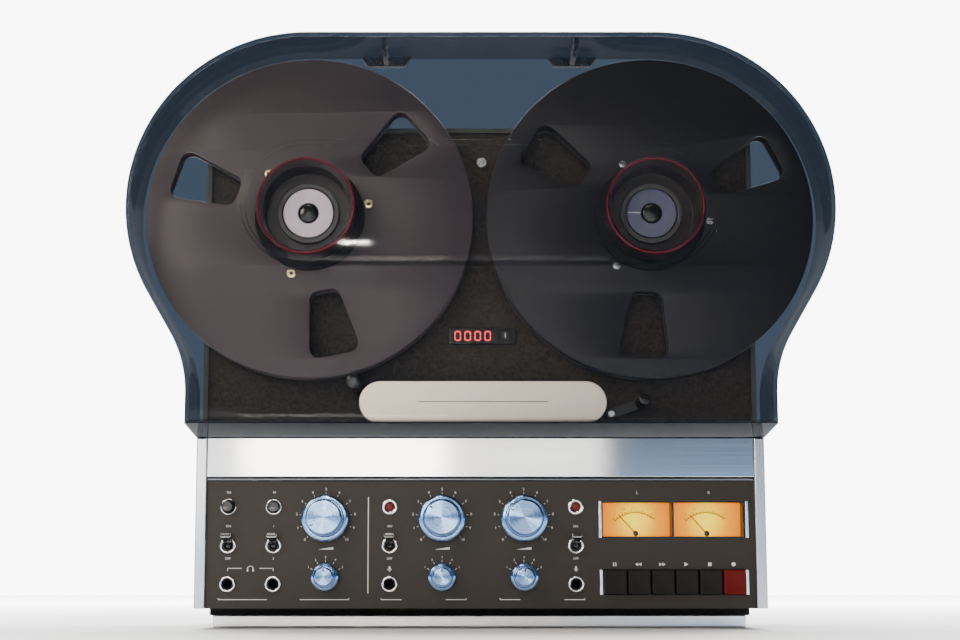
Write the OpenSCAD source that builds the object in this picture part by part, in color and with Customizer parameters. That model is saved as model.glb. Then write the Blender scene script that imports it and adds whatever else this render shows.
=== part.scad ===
// Reel-to-reel tape recorder with a dust cover.
// X runs to the right, Y to the back and Z up. The origin is under the middle of the machine.
// Depths are given as f, the distance in front of the deck plate's face.

/* [Cabinet] */
// Width of the cabinet
case_w = 452; // [440:1:470]
// Height of the cabinet above its plinth
case_h = 398; // [390:1:415]
// Depth from the front rails to the back of the rear cover
case_d = 185; // [178:1:205]
// Thickness of the cabinet's walls
wall = 4; // [3:0.5:5]
// Distance of the rear cover's screws from its edges
screw_in = 12; // [9:0.5:16]
// Thickness of the rear cover
rear_t = 4; // [3:0.5:6]
// How far the cabinet's rim stands in front of the deck plate
rim_f = 3; // [1:0.5:5]
// Height of the plinth
plinth_h = 6; // [4:0.5:9]
// Height of the foot rails
foot_h = 10; // [8:0.5:14]
// Depth of one foot rail, front to back
foot_d = 16; // [12:1:24]
// How far the plinth's sides lie inside the cabinet's sides
plinth_inset = 5; // [3:0.5:9]
// How far the front foot rail lies behind the front rails
foot_back = 55; // [45:1:62]

/* [Control section] */
// Height of the control section
section_h = 135; // [132:1:140]
// How far the front rails stand in front of the deck plate
deck_recess = 25; // [23:1:30]
// Width of the bright rail at each side
rail_w = 8.6; // [7:0.2:10]
// Thickness of the control panel
panel_t = 3; // [2:0.5:4]
// How far the panel's face lies behind the rails
panel_sink = 3; // [2:0.5:4]
// Height of the bright band across the top
band_h = 32; // [29:0.5:33]
// Height of the bead below the band
bead_h = 2; // [1.5:0.1:2.5]

/* [Deck] */
// Thickness of the deck plate
deck_t = 3; // [2:0.5:4]
// Distance from the deck plate's face to the chassis plate
chassis_back = 10; // [9:0.5:12]
// Thickness of the chassis plate
chassis_t = 4; // [3:0.5:6]
// Distance of the deck plate's screw below the cabinet's top
deck_screw_drop = 29; // [24:1:36]
// Half width of the cut-out in the chassis, and its clearance from the counter
chassis_cut = 40; // [30:1:46]
// Radius of the posts between the chassis and the deck plate
post_r = 5; // [4:0.5:6]

/* [Reels] */
// Diameter of a reel
reel_d = 266; // [258:1:267]
// Distance between the two hub centres
reel_span = 277; // [274:1:284]
// Height of the hub centres above the cabinet's underside
hub_rise = 317; // [315:1:322]
// Thickness of a reel over both flanges
reel_t = 12.5; // [11:0.5:13]
// Thickness of one flange
flange_t = 1.5; // [1:0.1:2]
// Diameter of the reel's winding core
core_d = 114; // [110:1:118]
// Diameter of the reel's centre hole
bore_d = 76.2; // [74:0.2:78]
// Distance from the hub centre to the inner corner centres of a window
window_in = 70; // [68:1:74]
// Distance from the hub centre to the outer corner centres of a window
window_out = 108; // [100:1:114]
// Width of a window at its inner end, between corner centres
window_w_in = 10; // [6:1:14]
// Width of a window at its outer end, between corner centres
window_w_out = 24; // [18:1:30]
// Radius of a window's corners
window_r = 8; // [5:0.5:10]
// Turn of the left reel's windows
left_window_turn = 41; // [0:1:119]
// Turn of the right reel's windows
right_window_turn = 27; // [0:1:119]
// Turn of the left reel's screws
left_screw_turn = 13; // [0:1:119]
// Turn of the right reel's screws
right_screw_turn = -4; // [-60:1:60]
// Distance of the flange screws from the hub centre
reel_screw_at = 49; // [48.5:0.5:52]
// Radius of a flange screw's head
reel_screw_r = 3; // [2:0.25:3.25]

/* [Adapters and spindles] */
// Height of an adapter above the front flange
adapter_h = 32.5; // [28:0.5:33]
// Outer radius of an adapter's cup
cup_r = 37; // [35:0.5:37]
// Wall of an adapter's cup
cup_wall = 3; // [2:0.5:4]
// Height of the cup's floor above the front flange
cup_floor = 6.5; // [5:0.5:8]
// Outer radius of the red rim ring
rim_r = 39.5; // [38:0.5:41]
// Thickness of the red rim ring
rim_t = 4; // [3:0.5:6]
// Outer radius of the red base ring
base_r = 45; // [43:0.5:45.5]
// Thickness of the red base ring
base_t = 2.5; // [1.5:0.5:4]
// Radius of the turntable under a reel
table_r = 32; // [28:1:36]
// Thickness of the turntable
table_t = 5; // [4:0.5:6]
// Gap between the deck plate and the turntable
table_gap = 3; // [2:0.5:4]
// Radius of the spindle's nose
nose_r = 13; // [11:0.5:15]
// Radius of the pale end disc
disc_r = 20; // [18:0.5:22]
// Thickness of the pale end disc
disc_t = 3; // [2:0.5:4]
// Radius of the spindle's shaft
shaft_r = 4; // [3:0.25:5]

/* [Drive] */
// Radius of a reel motor
motor_r = 45; // [40:1:50]
// Length of a reel motor
motor_l = 66; // [56:1:72]
// Radius of a brake drum
drum_r = 40; // [34:1:42]
// Width of a brake drum
drum_w = 12; // [9:1:16]
// Thickness of a brake band
band_t = 2; // [1:0.25:3]
// Radius of the capstan
capstan_r = 4; // [3:0.25:4.5]
// Radius of the capstan motor
capstan_motor_r = 38; // [34:1:42]
// Length of the capstan motor
capstan_motor_l = 56; // [46:1:60]
// Radius of the capstan's flywheel
flywheel_r = 34; // [30:1:40]

/* [Head cover] */
// Height of the head cover's centre above the control section's top
head_rise = 28; // [26:0.5:28.5]
// Sideways place of the head cover's centre
head_x = 2; // [0:0.5:4]
// Length of the bright plate
head_plate_l = 197; // [190:1:200]
// Height of the bright plate
head_plate_h = 34; // [32:0.5:35]
// Thickness of the bright plate
head_plate_t = 2.5; // [1.5:0.5:3.5]
// How far the plate overhangs the hood
hood_inset = 2.5; // [1.5:0.5:3]
// Wall of the hood
hood_wall = 2; // [1.5:0.25:2.5]
// Height of the hood in front of the deck plate
hood_h = 28; // [26:0.5:31]
// Radius of the pinch roller
pinch_r = 8; // [7:0.25:8.5]
// Distance from the pinch arm's pivot to the roller
pinch_arm_l = 10; // [9.5:0.25:11]
// Length of the tension arm
tension_l = 25.6; // [22:0.5:27]
// Angle of the tension arm above level
tension_angle = 20; // [10:1:25]
// Radius of the guide post and of the tension roller
guide_r = 4.5; // [3:0.25:5.5]

/* [Counter] */
// Width of the counter
counter_w = 55; // [52:1:62]
// Height of the counter
counter_h = 13; // [12:0.5:16]
// Height of the counter's centre above the cabinet's underside
counter_rise = 222; // [216:1:228]
// Height of one digit
digit_h = 8.6; // [7:0.2:9]
// Distance from one digit to the next
digit_pitch = 8.2; // [7.4:0.1:8.4]
// Side of the reset key
reset_w = 6; // [4:0.25:7]

/* [Panel controls] */
// Place of the power column, as a share of the free width beside the meters
power_share = 0.0561; // [0.05:0.001:0.062]
// Place of the monitor column, as a share of the free width beside the meters
monitor_share = 0.172; // [0.16:0.001:0.185]
// Place of the volume column, as a share of the free width beside the meters
volume_share = 0.3051; // [0.295:0.001:0.315]
// Place of the left record column, as a share of the free width beside the meters
record_left_share = 0.4684; // [0.46:0.001:0.478]
// Place of the left level column, as a share of the free width beside the meters
level_left_share = 0.6021; // [0.594:0.001:0.61]
// Place of the right level column, as a share of the free width beside the meters
level_right_share = 0.8109; // [0.8:0.001:0.816]
// Place of the right record column, as a share of the free width beside the meters
record_right_share = 0.9433; // [0.936:0.001:0.945]
// Height of the lamps and speed buttons above the cabinet's underside
lamp_rise = 80.2; // [78:0.5:83]
// Height of the large knobs
knob_rise = 70.8; // [69:0.5:73]
// Height of the toggle switches
toggle_rise = 49.6; // [48:0.5:53]
// Height of the selector knobs
selector_rise = 24.7; // [22:0.5:28]
// Height of the jack sockets
jack_rise = 19.2; // [17:0.5:23]
// Outer radius of the bright rings
ring_r = 6.5; // [6:0.25:7]
// Height of the bright rings
ring_t = 2; // [1:0.25:2.5]
// Radius of a large knob's skirt
knob_r = 18.3; // [17:0.25:19]
// Height of a large knob's skirt
knob_skirt = 10; // [8:0.5:12]
// Radius of a large knob's cap
cap_r = 13.8; // [12:0.25:15]
// Height of a large knob's cap
cap_h = 11; // [8:0.5:13]
// Radius of a selector knob's skirt
selector_r = 10.8; // [10:0.25:12]
// Height of a selector knob's skirt
selector_skirt = 7.5; // [6:0.5:9]
// Radius of a selector knob's cap
selector_cap_r = 7.5; // [6:0.25:9]
// Height of a selector knob's cap
selector_cap_h = 8; // [6:0.5:10]
// Radius of a knob's shaft
knob_shaft_r = 3; // [2.5:0.25:3.5]
// Outer radius of the volume ring's hollow shaft
ring_shaft_r = 4; // [3.75:0.25:5]
// Radius of the volume knob's inner shaft
core_shaft_r = 2.5; // [2:0.25:2.75]
// Radius of a speed button
button_r = 4.5; // [4:0.25:5]
// Travel of a speed button
button_travel = 4; // [3:0.5:5]
// Radius of a jack's hole
jack_r = 3.25; // [3.2:0.05:3.4]
// Depth of a jack's hole
jack_l = 20; // [16:1:21]
// Outer radius of a jack's barrel
jack_barrel_r = 5.8; // [5:0.2:6]
// Radius of the hole in the ring of a jack or a toggle
wide_ring_r = 4.4; // [4:0.1:5]
// Radius of a record lamp
lamp_r = 3.4; // [3:0.1:3.5]
// Upward lean of a toggle lever
toggle_lean = 28; // [20:1:30]
// Width of a toggle's paddle
paddle_w = 7.5; // [6:0.5:9]
// Length of a toggle's paddle
paddle_l = 12; // [10:0.5:14]

/* [Meters and keys] */
// Gap between the right rail and the meter window
bank_margin = 7.4; // [6:0.1:9]
// Width of the meter window
meter_w = 114; // [108:1:115]
// Height of the meter window
meter_h = 29; // [27:0.5:31]
// Height of the meters' centre above the cabinet's underside
meter_rise = 70.4; // [68:0.5:72]
// Length of a meter's needle
needle_l = 21; // [17:0.5:22]
// Lean of a needle at rest
needle_lean = 42; // [38:1:44]
// How far the row of keys ends inside the meter window's width
key_end = 0.6; // [0:0.1:2]
// Gap between two keys
key_gap = 1.2; // [0.8:0.1:2]
// Height of a key
key_h = 19.4; // [18:0.2:21]
// Height of the keys' centre above the cabinet's underside
key_rise = 20.7; // [19:0.5:23]
// How far a key stands out of the panel
key_out = 5; // [4:0.5:7]
// Travel of a key
key_travel = 3; // [2:0.25:3]
// Width of the bright bars at the ends of the meters and keys
bar_w = 2.4; // [2:0.1:3]

/* [Dust cover] */
// Radius of the cover's corners round the hubs
cover_r = 141.5; // [139:0.5:146]
// Wall of the cover
cover_t = 3; // [2:0.25:4]
// Width of the cover's lower part
cover_low_w = 460; // [458:1:480]
// Slope of the cover's sides below the reels, from upright
cover_slope = 30; // [26:1:34]
// How far the cover's rear rim stands in front of the deck plate
cover_rear_f = 9; // [7:0.5:11]
// How far the cover's face stands in front of the deck plate
cover_front_f = 57; // [56:0.5:62]
// Height of the raised field over the hubs
field_h = 8; // [6:0.5:12]
// Radius of the raised field's ends
field_r = 50; // [48:0.5:56]
// Sideways place of the ribs under the cover's top
rib_x = 77; // [70:1:84]
// Thickness of a rib
rib_t = 4; // [3:0.5:6]
// Height of a rib
rib_h = 8; // [5:0.5:10]
// Width of a rib's foot at its top
rib_foot_w = 42; // [34:1:48]
// How much narrower each side of a rib's foot is at its bottom
rib_foot_taper = 6; // [2:0.5:10]

/* [Clearances] */
// Radial clearance of a shaft in its bearing
run_fit = 0.05; // [0.02:0.01:0.1]
// Clearance round a piece that slides or turns in a hole
move_gap = 0.4; // [0.3:0.05:0.6]
// Clearance between fitted pieces that stay together
seat_gap = 0.1; // [0.05:0.05:0.2]

/* [Hidden] */
$fn = 64;
over = 1;
case_z = foot_h + plinth_h;
case_top = case_z + case_h;
ledge_z = case_z + section_h;
in_x = case_w / 2 - wall;
rail_in = case_w / 2 - rail_w;
rear_f = deck_recess - case_d;
inner_rear_f = rear_f + rear_t;
section_f = deck_recess - panel_t - panel_sink;
panel_f = section_f + panel_t;
field_f = cover_front_f + field_h;
deck_y = field_f - (field_f - rear_f) / 2;
hub_x = reel_span / 2;
hub_z = case_z + hub_rise;
reel_f = table_gap + table_t;
flange_f = reel_f + reel_t;
adapter_f = flange_f + adapter_h;
cup_floor_f = flange_f + cup_floor;
nose_f = cup_floor_f + 1;
disc_f = nose_f + disc_t;
button_dome_r = 8.5;
button_dome_h = 2.5;
lock_ring_r = disc_r + 5;
chassis_f = -chassis_back;
mount_f = chassis_f - chassis_t;
motor_f = mount_f - motor_l;
drum_gap = 3;
brake_gap = 1;
drum_f = motor_f - drum_gap;
drum_end_f = drum_f - drum_w;
capstan_motor_f = mount_f - capstan_motor_l;
flywheel_f = capstan_motor_f - 4;
flywheel_t = 12;
shaft_hole_gap = 4;
head_z = ledge_z + head_rise;
hood_r = head_plate_h / 2 - hood_inset;
hood_half = head_plate_l / 2 - head_plate_h / 2;
block_t = 4;
block_l = 172;
block_h = 20;
head_w = 14;
head_pitch = 30;
head_first = 50;
head_t = 20;
capstan_x = head_x + 50;
pinch_x = capstan_x + capstan_r + pinch_r + 3;
pinch_pin_r = 2;
pinch_axle_r = 1.5;
pinch_pivot_z = head_z - 8.5;
pinch_z = pinch_pivot_z + pinch_arm_l;
arm_t = 2;
arm_f = block_t + 1;
pinch_f = arm_f + arm_t + move_gap;
pinch_l = 12;
tension_pin_r = 2.5;
tension_x = head_x + head_plate_l / 2 + tension_pin_r + 4;
tension_z = head_z - 6;
tension_f = 4;
guide_x = head_x - head_plate_l / 2 - guide_r;
guide_z = head_z + head_plate_h / 2;
guide_top_f = hood_h + head_plate_t;
counter_x = 2.5;
counter_z = case_z + counter_rise;
counter_t = 3;
digit_t = 0.4;
digit_stroke = 1.1;
reset_x = counter_x + counter_w / 2 - reset_w - 3;
reset_travel = 2;
reset_f = reset_travel + 0.5;
reset_top_f = counter_t + 3;
knob_f = panel_f + ring_t / 2;
pot_r = 11;
pot_back_f = 4;
pot_step_f = 11;
toggle_f = panel_f - 2;
toggle_ball_r = 3.05;
toggle_neck_r = 1.5;
toggle_neck_l = 6;
toggle_paddle_t = 3.2;
toggle_hole_r = toggle_ball_r + move_gap;
toggle_pin_r = 1;
switch_f = toggle_f - toggle_ball_r - 2;
button_tail_f = 12;
button_out = 7;
meter_z = case_z + meter_rise;
meter_wall = 3;
bank_x = rail_in - bank_margin - meter_w / 2;
free_w = bank_x - meter_w / 2 - meter_wall + rail_in;
power_x = power_share * free_w - rail_in;
monitor_x = monitor_share * free_w - rail_in;
volume_x = volume_share * free_w - rail_in;
record_left_x = record_left_share * free_w - rail_in;
level_left_x = level_left_share * free_w - rail_in;
level_right_x = level_right_share * free_w - rail_in;
record_right_x = record_right_share * free_w - rail_in;
meter_back_f = -6;
dial_f = 9;
dial_t = 1;
lens_t = 2;
needle_f = dial_f + dial_t + 1;
needle_t = 0.6;
needle_w = 0.8;
needle_hub_r = 2;
needle_pin_r = 1;
needle_z = meter_z - meter_h / 2 + 3.5;
dial_w = meter_w / 2 - seat_gap;
key_count = 6;
keys_w = meter_w - 2 * key_end;
key_pitch = keys_w / key_count;
key_w = key_pitch - key_gap;
key_z = case_z + key_rise;
key_base_f = panel_f - 2;
key_stem = 6;
key_bank_f = key_base_f - key_travel - 1.5;
bank_back_f = 4;
bank_side = 3;
cover_z = ledge_z + move_gap;
cover_top = hub_z + cover_r;
rib_foot_t = 4;
plinth_front_f = deck_recess - foot_back + 12;
foot_front_f = deck_recess - foot_back;
foot_rear_f = inner_rear_f + foot_d;
iron_in = 32;
iron_w = 90;
iron_d = 70;
iron_h = 76;
iron_f = -70;
board_w = 282;
board_h = 110;
board_t = 2;
board_f = -60;
can_count = 6;
can_rise = 40;
can_w = 18;
can_d = 24;
can_h = 36;
socket_w = 150;
socket_h = 50;
socket_x = 110;
socket_rise = 40;
socket_deep = 14;
socket_plate_t = 3;
socket_wall = 3;
pin_pitch = 22;
pin_row = 24;
pin_r = 4;
pin_in = 20;
inlet_in = 30;
inlet_pitch = 7;
inlet_step = 4;
inlet_r = 1.6;
plug_sink = 2.5;
screw_r = 4;
screw_t = 2.5;
screw_head_t = 1.2;

// Y of a place that lies f in front of the deck plate's face
function fy(f) = deck_y - f;

// Unit normal to the right of the way from a to b
function side_of(a, b) = [b[1] - a[1], a[0] - b[0]] / norm(b - a);

module at(x, z) {
  translate([x, 0, z])
    children();
}

// Box between two values of x, f and z
module block(x0, x1, f0, f1, z0, z1) {
  translate([x0, fy(f1), z0])
    cube([x1 - x0, f1 - f0, z1 - z0]);
}

// Round bar along Y between two values of f
module rod(r, f0, f1) {
  translate([0, fy(f1), 0])
    rotate([-90, 0, 0])
      cylinder(r = r, h = f1 - f0);
}

module tube(r, hole_r, f0, f1) {
  difference() {
    rod(r, f0, f1);
    rod(hole_r, f0 - over, f1 + over);
  }
}

// Flat shape drawn in X and Z, given depth between two values of f
module slab(f0, f1) {
  translate([0, fy(f0), 0])
    rotate([90, 0, 0])
      linear_extrude(height = f1 - f0)
        children();
}

// Flat shape drawn in Y and Z, given width along X
module side_slab(x0, x1) {
  translate([x0, 0, 0])
    rotate([90, 0, 90])
      linear_extrude(height = x1 - x0)
        children();
}

// Slot shape with round ends, centred, along X
module stadium(half, r) {
  square([2 * half, 2 * r], center = true);
  for (s = [-1, 1])
    translate([s * half, 0])
      circle(r = r);
}

// Four corner centres joined with round corners of radius r, listed anticlockwise
module round_quad(c, r) {
  polygon([for (i = [0 : 3])
    each [c[i] + r * side_of(c[(i + 3) % 4], c[i]), c[i] + r * side_of(c[i], c[(i + 1) % 4])]]);
  for (p = c)
    translate(p)
      circle(r = r);
}

module cabinet() {
  color("#3a3b3d")
    difference() {
      side_slab(-case_w / 2, case_w / 2)
        polygon([[fy(inner_rear_f), case_z], [fy(section_f), case_z], [fy(section_f), ledge_z],
          [fy(rim_f), ledge_z], [fy(rim_f), case_top], [fy(inner_rear_f), case_top]]);
      block(-in_x, in_x, inner_rear_f - over, section_f + over, case_z + wall, ledge_z - wall);
      block(-in_x, in_x, inner_rear_f - over, rim_f + over, ledge_z, case_top - wall);
      block(-in_x, in_x, inner_rear_f - over, -deck_t - wall, ledge_z - wall - over, ledge_z + over);
    }
}

// Places of the rear cover's screws
function rear_screws() = [for (s = [-1, 1])
  for (z = [case_z + screw_in, case_z + case_h / 2, case_top - screw_in])
    [s * (case_w / 2 - screw_in), z]];

module rear_cover() {
  vents = 9;
  vent_w = 120;
  vent_h = 4;
  color("#2f3032")
    difference() {
      block(-case_w / 2, case_w / 2, rear_f, inner_rear_f, case_z, case_top);
      block(socket_x - socket_w / 2, socket_x + socket_w / 2, rear_f - over, inner_rear_f + over,
        case_z + socket_rise, case_z + socket_rise + socket_h);
      for (s = [-1, 1])
        for (i = [0 : vents - 1])
          at(s * hub_x, case_z + case_h / 2 + i * 3 * vent_h)
            block(-vent_w / 2, vent_w / 2, rear_f - over, inner_rear_f + over, 0, vent_h);
      for (p = rear_screws())
        at(p[0], p[1])
          rod(screw_r + seat_gap, rear_f - over, rear_f + screw_t);
    }
}

module deck_plate() {
  color("#3a3530")
    difference() {
      block(-in_x, in_x, -deck_t, 0, ledge_z, case_top - wall);
      for (s = [-1, 1])
        at(s * hub_x, hub_z)
          rod(shaft_r + shaft_hole_gap, -deck_t - over, over);
      at(capstan_x, head_z)
        rod(capstan_r + shaft_hole_gap, -deck_t - over, over);
    }
}

// Places of buttons and lamps: sideways, height and hole radius in the panel
function ring_holes() = [
  [power_x, lamp_rise, button_r + move_gap], [monitor_x, lamp_rise, button_r + move_gap],
  [record_left_x, lamp_rise, lamp_r + seat_gap], [record_right_x, lamp_rise, lamp_r + seat_gap]];

function jack_places() = [for (x = [power_x, monitor_x, record_left_x, record_right_x]) [x, jack_rise]];

function toggle_places() = [for (x = [power_x, monitor_x, record_left_x, record_right_x]) [x, toggle_rise]];

function shaft_places() = [[volume_x, knob_rise], [level_left_x, knob_rise], [level_right_x, knob_rise],
  [volume_x, selector_rise], [level_left_x, selector_rise], [level_right_x, selector_rise]];

module control_panel() {
  color("#34312e")
    difference() {
      block(-rail_in, rail_in, section_f, panel_f, case_z, ledge_z - band_h - bead_h);
      for (h = ring_holes())
        at(h[0], case_z + h[1])
          rod(h[2], section_f - over, panel_f + over);
      for (p = toggle_places())
        at(p[0], case_z + p[1])
          rod(toggle_hole_r, section_f - over, panel_f + over);
      for (p = jack_places())
        at(p[0], case_z + p[1])
          rod(jack_barrel_r + seat_gap, section_f - over, panel_f + over);
      for (p = shaft_places())
        at(p[0], case_z + p[1])
          rod(ring_shaft_r + move_gap, section_f - over, panel_f + over);
      block(bank_x - meter_w / 2, bank_x + meter_w / 2, section_f - over, panel_f + over,
        meter_z - meter_h / 2, meter_z + meter_h / 2);
      block(bank_x - keys_w / 2, bank_x + keys_w / 2, section_f - over, panel_f + over,
        key_z - key_h / 2 - move_gap, key_z + key_h / 2 + move_gap);
    }
}

module front_trims() {
  color("#c9cdd3") {
    block(-rail_in, rail_in, section_f, deck_recess, ledge_z - band_h, ledge_z);
    block(-rail_in, rail_in, section_f, deck_recess - 1, ledge_z - band_h - bead_h, ledge_z - band_h);
    block(-case_w / 2, -rail_in, section_f, deck_recess, case_z, ledge_z);
    block(rail_in, case_w / 2, section_f, deck_recess, case_z, ledge_z);
  }
}

module base_plinth() {
  w = case_w / 2 - plinth_inset;
  color("#26262a")
    slab(inner_rear_f, plinth_front_f)
      polygon([[w, foot_h], [w, case_z], [-w, case_z], [-w, foot_h]]);
}

module foot_rails() {
  w = case_w / 2 - plinth_inset;
  color("#b9bcc2") {
    block(-w, w, foot_front_f - foot_d, foot_front_f, 0, foot_h);
    block(-w, w, foot_rear_f - foot_d, foot_rear_f, 0, foot_h);
  }
}

module chassis() {
  post_in = 14;
  color("#8d9094")
    difference() {
      union() {
        block(-in_x, in_x, mount_f, chassis_f, case_z + wall, case_top - wall);
        for (x = [-in_x + post_in, 0, in_x - post_in])
          for (z = [ledge_z + post_in, case_top - wall - post_in])
            at(x, z)
              rod(post_r, mount_f, -deck_t);
      }
      for (s = [-1, 1])
        at(s * hub_x, hub_z)
          rod(shaft_r + shaft_hole_gap, mount_f - over, chassis_f + over);
      at(capstan_x, head_z)
        rod(capstan_r + shaft_hole_gap, mount_f - over, chassis_f + over);
      block(-chassis_cut, chassis_cut, mount_f - over, chassis_f + over, counter_z + chassis_cut,
        hub_z + chassis_cut);
    }
}

module cabinet_screws() {
  color("#9a9ca0") {
    for (p = rear_screws())
      at(p[0], p[1])
        rod(screw_r, rear_f, rear_f + screw_t);
    at(head_x, case_top - deck_screw_drop)
      rod(screw_r, 0, screw_t);
  }
}

module drive_motors() {
  color("#6f7276") {
    for (s = [-1, 1])
      at(s * hub_x, hub_z) {
        tube(motor_r, shaft_r + run_fit, motor_f, mount_f);
        tube(drum_r + brake_gap + band_t, drum_r + brake_gap, drum_end_f + brake_gap, motor_f);
      }
    at(capstan_x, head_z)
      tube(capstan_motor_r, capstan_r + run_fit, capstan_motor_f, mount_f);
  }
}

module head_block() {
  head_bottom = head_z - block_h / 2 + 1;
  color("#a7a9ad") {
    difference() {
      block(head_x - block_l / 2, head_x + block_l / 2, 0, block_t, head_z - block_h / 2, head_z + block_h / 2);
      at(capstan_x, head_z)
        rod(capstan_r + move_gap, -over, block_t + over);
    }
    for (i = [0 : 2])
      at(head_x - head_first + i * head_pitch, head_bottom)
        block(-head_w / 2, head_w / 2, block_t, block_t + head_t, 0, head_w);
    at(pinch_x, pinch_pivot_z)
      rod(pinch_pin_r, block_t, arm_f + arm_t + 1);
    at(tension_x, tension_z)
      rod(tension_pin_r, 0, tension_f + arm_t + 1);
    at(guide_x, guide_z) {
      rod(guide_r, 0, guide_top_f);
      tube(guide_r + 1.5, guide_r, guide_top_f - 2, guide_top_f);
    }
  }
}

module head_cover() {
  slot_in = 16;
  slot_up = 2;
  color("#1d1d1f")
    difference() {
      at(head_x, head_z)
        slab(0, hood_h)
          stadium(hood_half, hood_r);
      at(head_x, head_z)
        slab(-over, hood_h + over)
          stadium(hood_half, hood_r - hood_wall);
      for (s = [-1, 1])
        at(head_x + s * (hood_half + hood_r), head_z + slot_up)
          block(-hood_r - slot_in, hood_r + slot_in, reel_f - over, flange_f + over, 0, hood_r);
    }
}

module head_plate() {
  color("#c8ccd2")
    at(head_x, head_z)
      slab(hood_h, hood_h + head_plate_t)
        stadium(hood_half, head_plate_h / 2);
}

module counter_display() {
  color("#171719")
    difference() {
      block(counter_x - counter_w / 2, counter_x + counter_w / 2, 0, counter_t,
        counter_z - counter_h / 2, counter_z + counter_h / 2);
      at(reset_x, counter_z)
        block(-reset_w / 2 - move_gap, reset_w / 2 + move_gap, -over, counter_t + over,
          -reset_w / 2 - move_gap, reset_w / 2 + move_gap);
    }
  color("#e0252f")
    for (i = [0 : 3])
      at(counter_x - counter_w / 2 + 3 + (i + 0.5) * digit_pitch, counter_z)
        slab(counter_t, counter_t + digit_t)
          difference() {
            square([digit_h * 0.6, digit_h], center = true);
            square([digit_h * 0.6 - 2 * digit_stroke, digit_h - 2 * digit_stroke], center = true);
          }
}

module counter_reset() {
  color("#c9ccd0")
    at(reset_x, counter_z)
      block(-reset_w / 2, reset_w / 2, reset_f, reset_top_f, -reset_w / 2, reset_w / 2);
}

module meter_housing() {
  x = meter_w / 2 + meter_wall;
  z = meter_h / 2 + meter_wall;
  color("#e8e2d0")
    difference() {
      block(bank_x - x, bank_x + x, meter_back_f, section_f, meter_z - z, meter_z + z);
      block(bank_x - meter_w / 2, bank_x + meter_w / 2, meter_back_f + meter_wall, section_f + over,
        meter_z - meter_h / 2, meter_z + meter_h / 2);
    }
}

module meter_dials() {
  color("#f5a623")
    for (s = [-1, 1])
      difference() {
        at(bank_x + s * meter_w / 4, meter_z)
          block(-dial_w / 2, dial_w / 2, dial_f, dial_f + dial_t, -meter_h / 2, meter_h / 2);
        at(bank_x + s * meter_w / 4, needle_z)
          rod(needle_pin_r + run_fit, dial_f - over, dial_f + dial_t + over);
      }
}

module meter_window() {
  color("#f0f0f0", 0.3)
    block(bank_x - meter_w / 2, bank_x + meter_w / 2, panel_f - lens_t, panel_f,
      meter_z - meter_h / 2, meter_z + meter_h / 2);
}

// Needle of the meter on side s, leaning to the left at rest
module needle(s) {
  color("#151515")
    at(bank_x + s * meter_w / 4, needle_z) {
      rod(needle_hub_r, needle_f, needle_f + 2);
      rod(needle_pin_r, dial_f - 1, needle_f);
      rotate([0, -needle_lean, 0])
        block(-needle_w / 2, needle_w / 2, needle_f + 0.5, needle_f + 0.5 + needle_t, 0, needle_l);
    }
}

module needle_left() {
  needle(-1);
}

module needle_right() {
  needle(1);
}

module panel_rings() {
  color("#d4d7db") {
    for (h = ring_holes())
      at(h[0], case_z + h[1])
        tube(ring_r, h[2], panel_f, panel_f + ring_t);
    for (p = concat(jack_places(), toggle_places()))
      at(p[0], case_z + p[1])
        tube(ring_r, wide_ring_r, panel_f, panel_f + ring_t);
    for (s = [-1, 1]) {
      at(bank_x + s * (meter_w + bar_w) / 2, meter_z)
        block(-bar_w / 2, bar_w / 2, panel_f, panel_f + 1, -meter_h / 2, meter_h / 2);
      at(bank_x + s * (keys_w + bar_w) / 2, key_z)
        block(-bar_w / 2, bar_w / 2, panel_f, panel_f + 1, -key_h / 2, key_h / 2);
    }
  }
}

module jack_sockets() {
  color("#1b1b1d")
    for (p = jack_places())
      at(p[0], case_z + p[1])
        difference() {
          rod(jack_barrel_r, panel_f - jack_l - 2, panel_f);
          rod(jack_r, panel_f - jack_l, panel_f + over);
        }
}

module panel_switchgear() {
  toggle_w = 10;
  toggle_h = 18;
  color("#4c4f53") {
    for (p = shaft_places())
      at(p[0], case_z + p[1])
        difference() {
          rod(pot_r, pot_back_f, section_f);
          if (p == [volume_x, knob_rise]) {
            rod(core_shaft_r + run_fit, pot_back_f - over, section_f + over);
            rod(ring_shaft_r + run_fit, pot_step_f - move_gap, section_f + over);
          } else {
            rod(knob_shaft_r + run_fit, pot_step_f - move_gap, section_f + over);
          }
        }
    for (p = toggle_places())
      at(p[0], case_z + p[1])
        difference() {
          block(-toggle_w / 2, toggle_w / 2, bank_back_f, section_f, -toggle_h / 2, toggle_h / 2);
          rod(toggle_hole_r, switch_f, section_f + over);
        }
    for (x = [power_x, monitor_x])
      at(x, case_z + lamp_rise)
        difference() {
          block(-ring_r, ring_r, bank_back_f, section_f, -ring_r, ring_r);
          rod(button_r + run_fit, button_tail_f - button_travel - 1, section_f + over);
        }
    at(bank_x, key_z)
      difference() {
        block(-keys_w / 2 - bank_side, keys_w / 2 + bank_side, bank_back_f, section_f,
          -key_h / 2 - bank_side, key_h / 2 + bank_side);
        block(-keys_w / 2, keys_w / 2, key_bank_f, section_f + over,
          -key_h / 2 - move_gap, key_h / 2 + move_gap);
        for (i = [0 : key_count - 1])
          at((i - (key_count - 1) / 2) * key_pitch, 0)
            block(-key_stem / 2 - move_gap, key_stem / 2 + move_gap, bank_back_f - over, key_bank_f + over,
              -key_stem / 2 - move_gap, key_stem / 2 + move_gap);
      }
  }
}

module record_lamps() {
  color("#7a1f1c")
    for (x = [record_left_x, record_right_x])
      at(x, case_z + lamp_rise)
        rod(lamp_r, section_f - 6, panel_f + ring_t);
}

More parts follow.
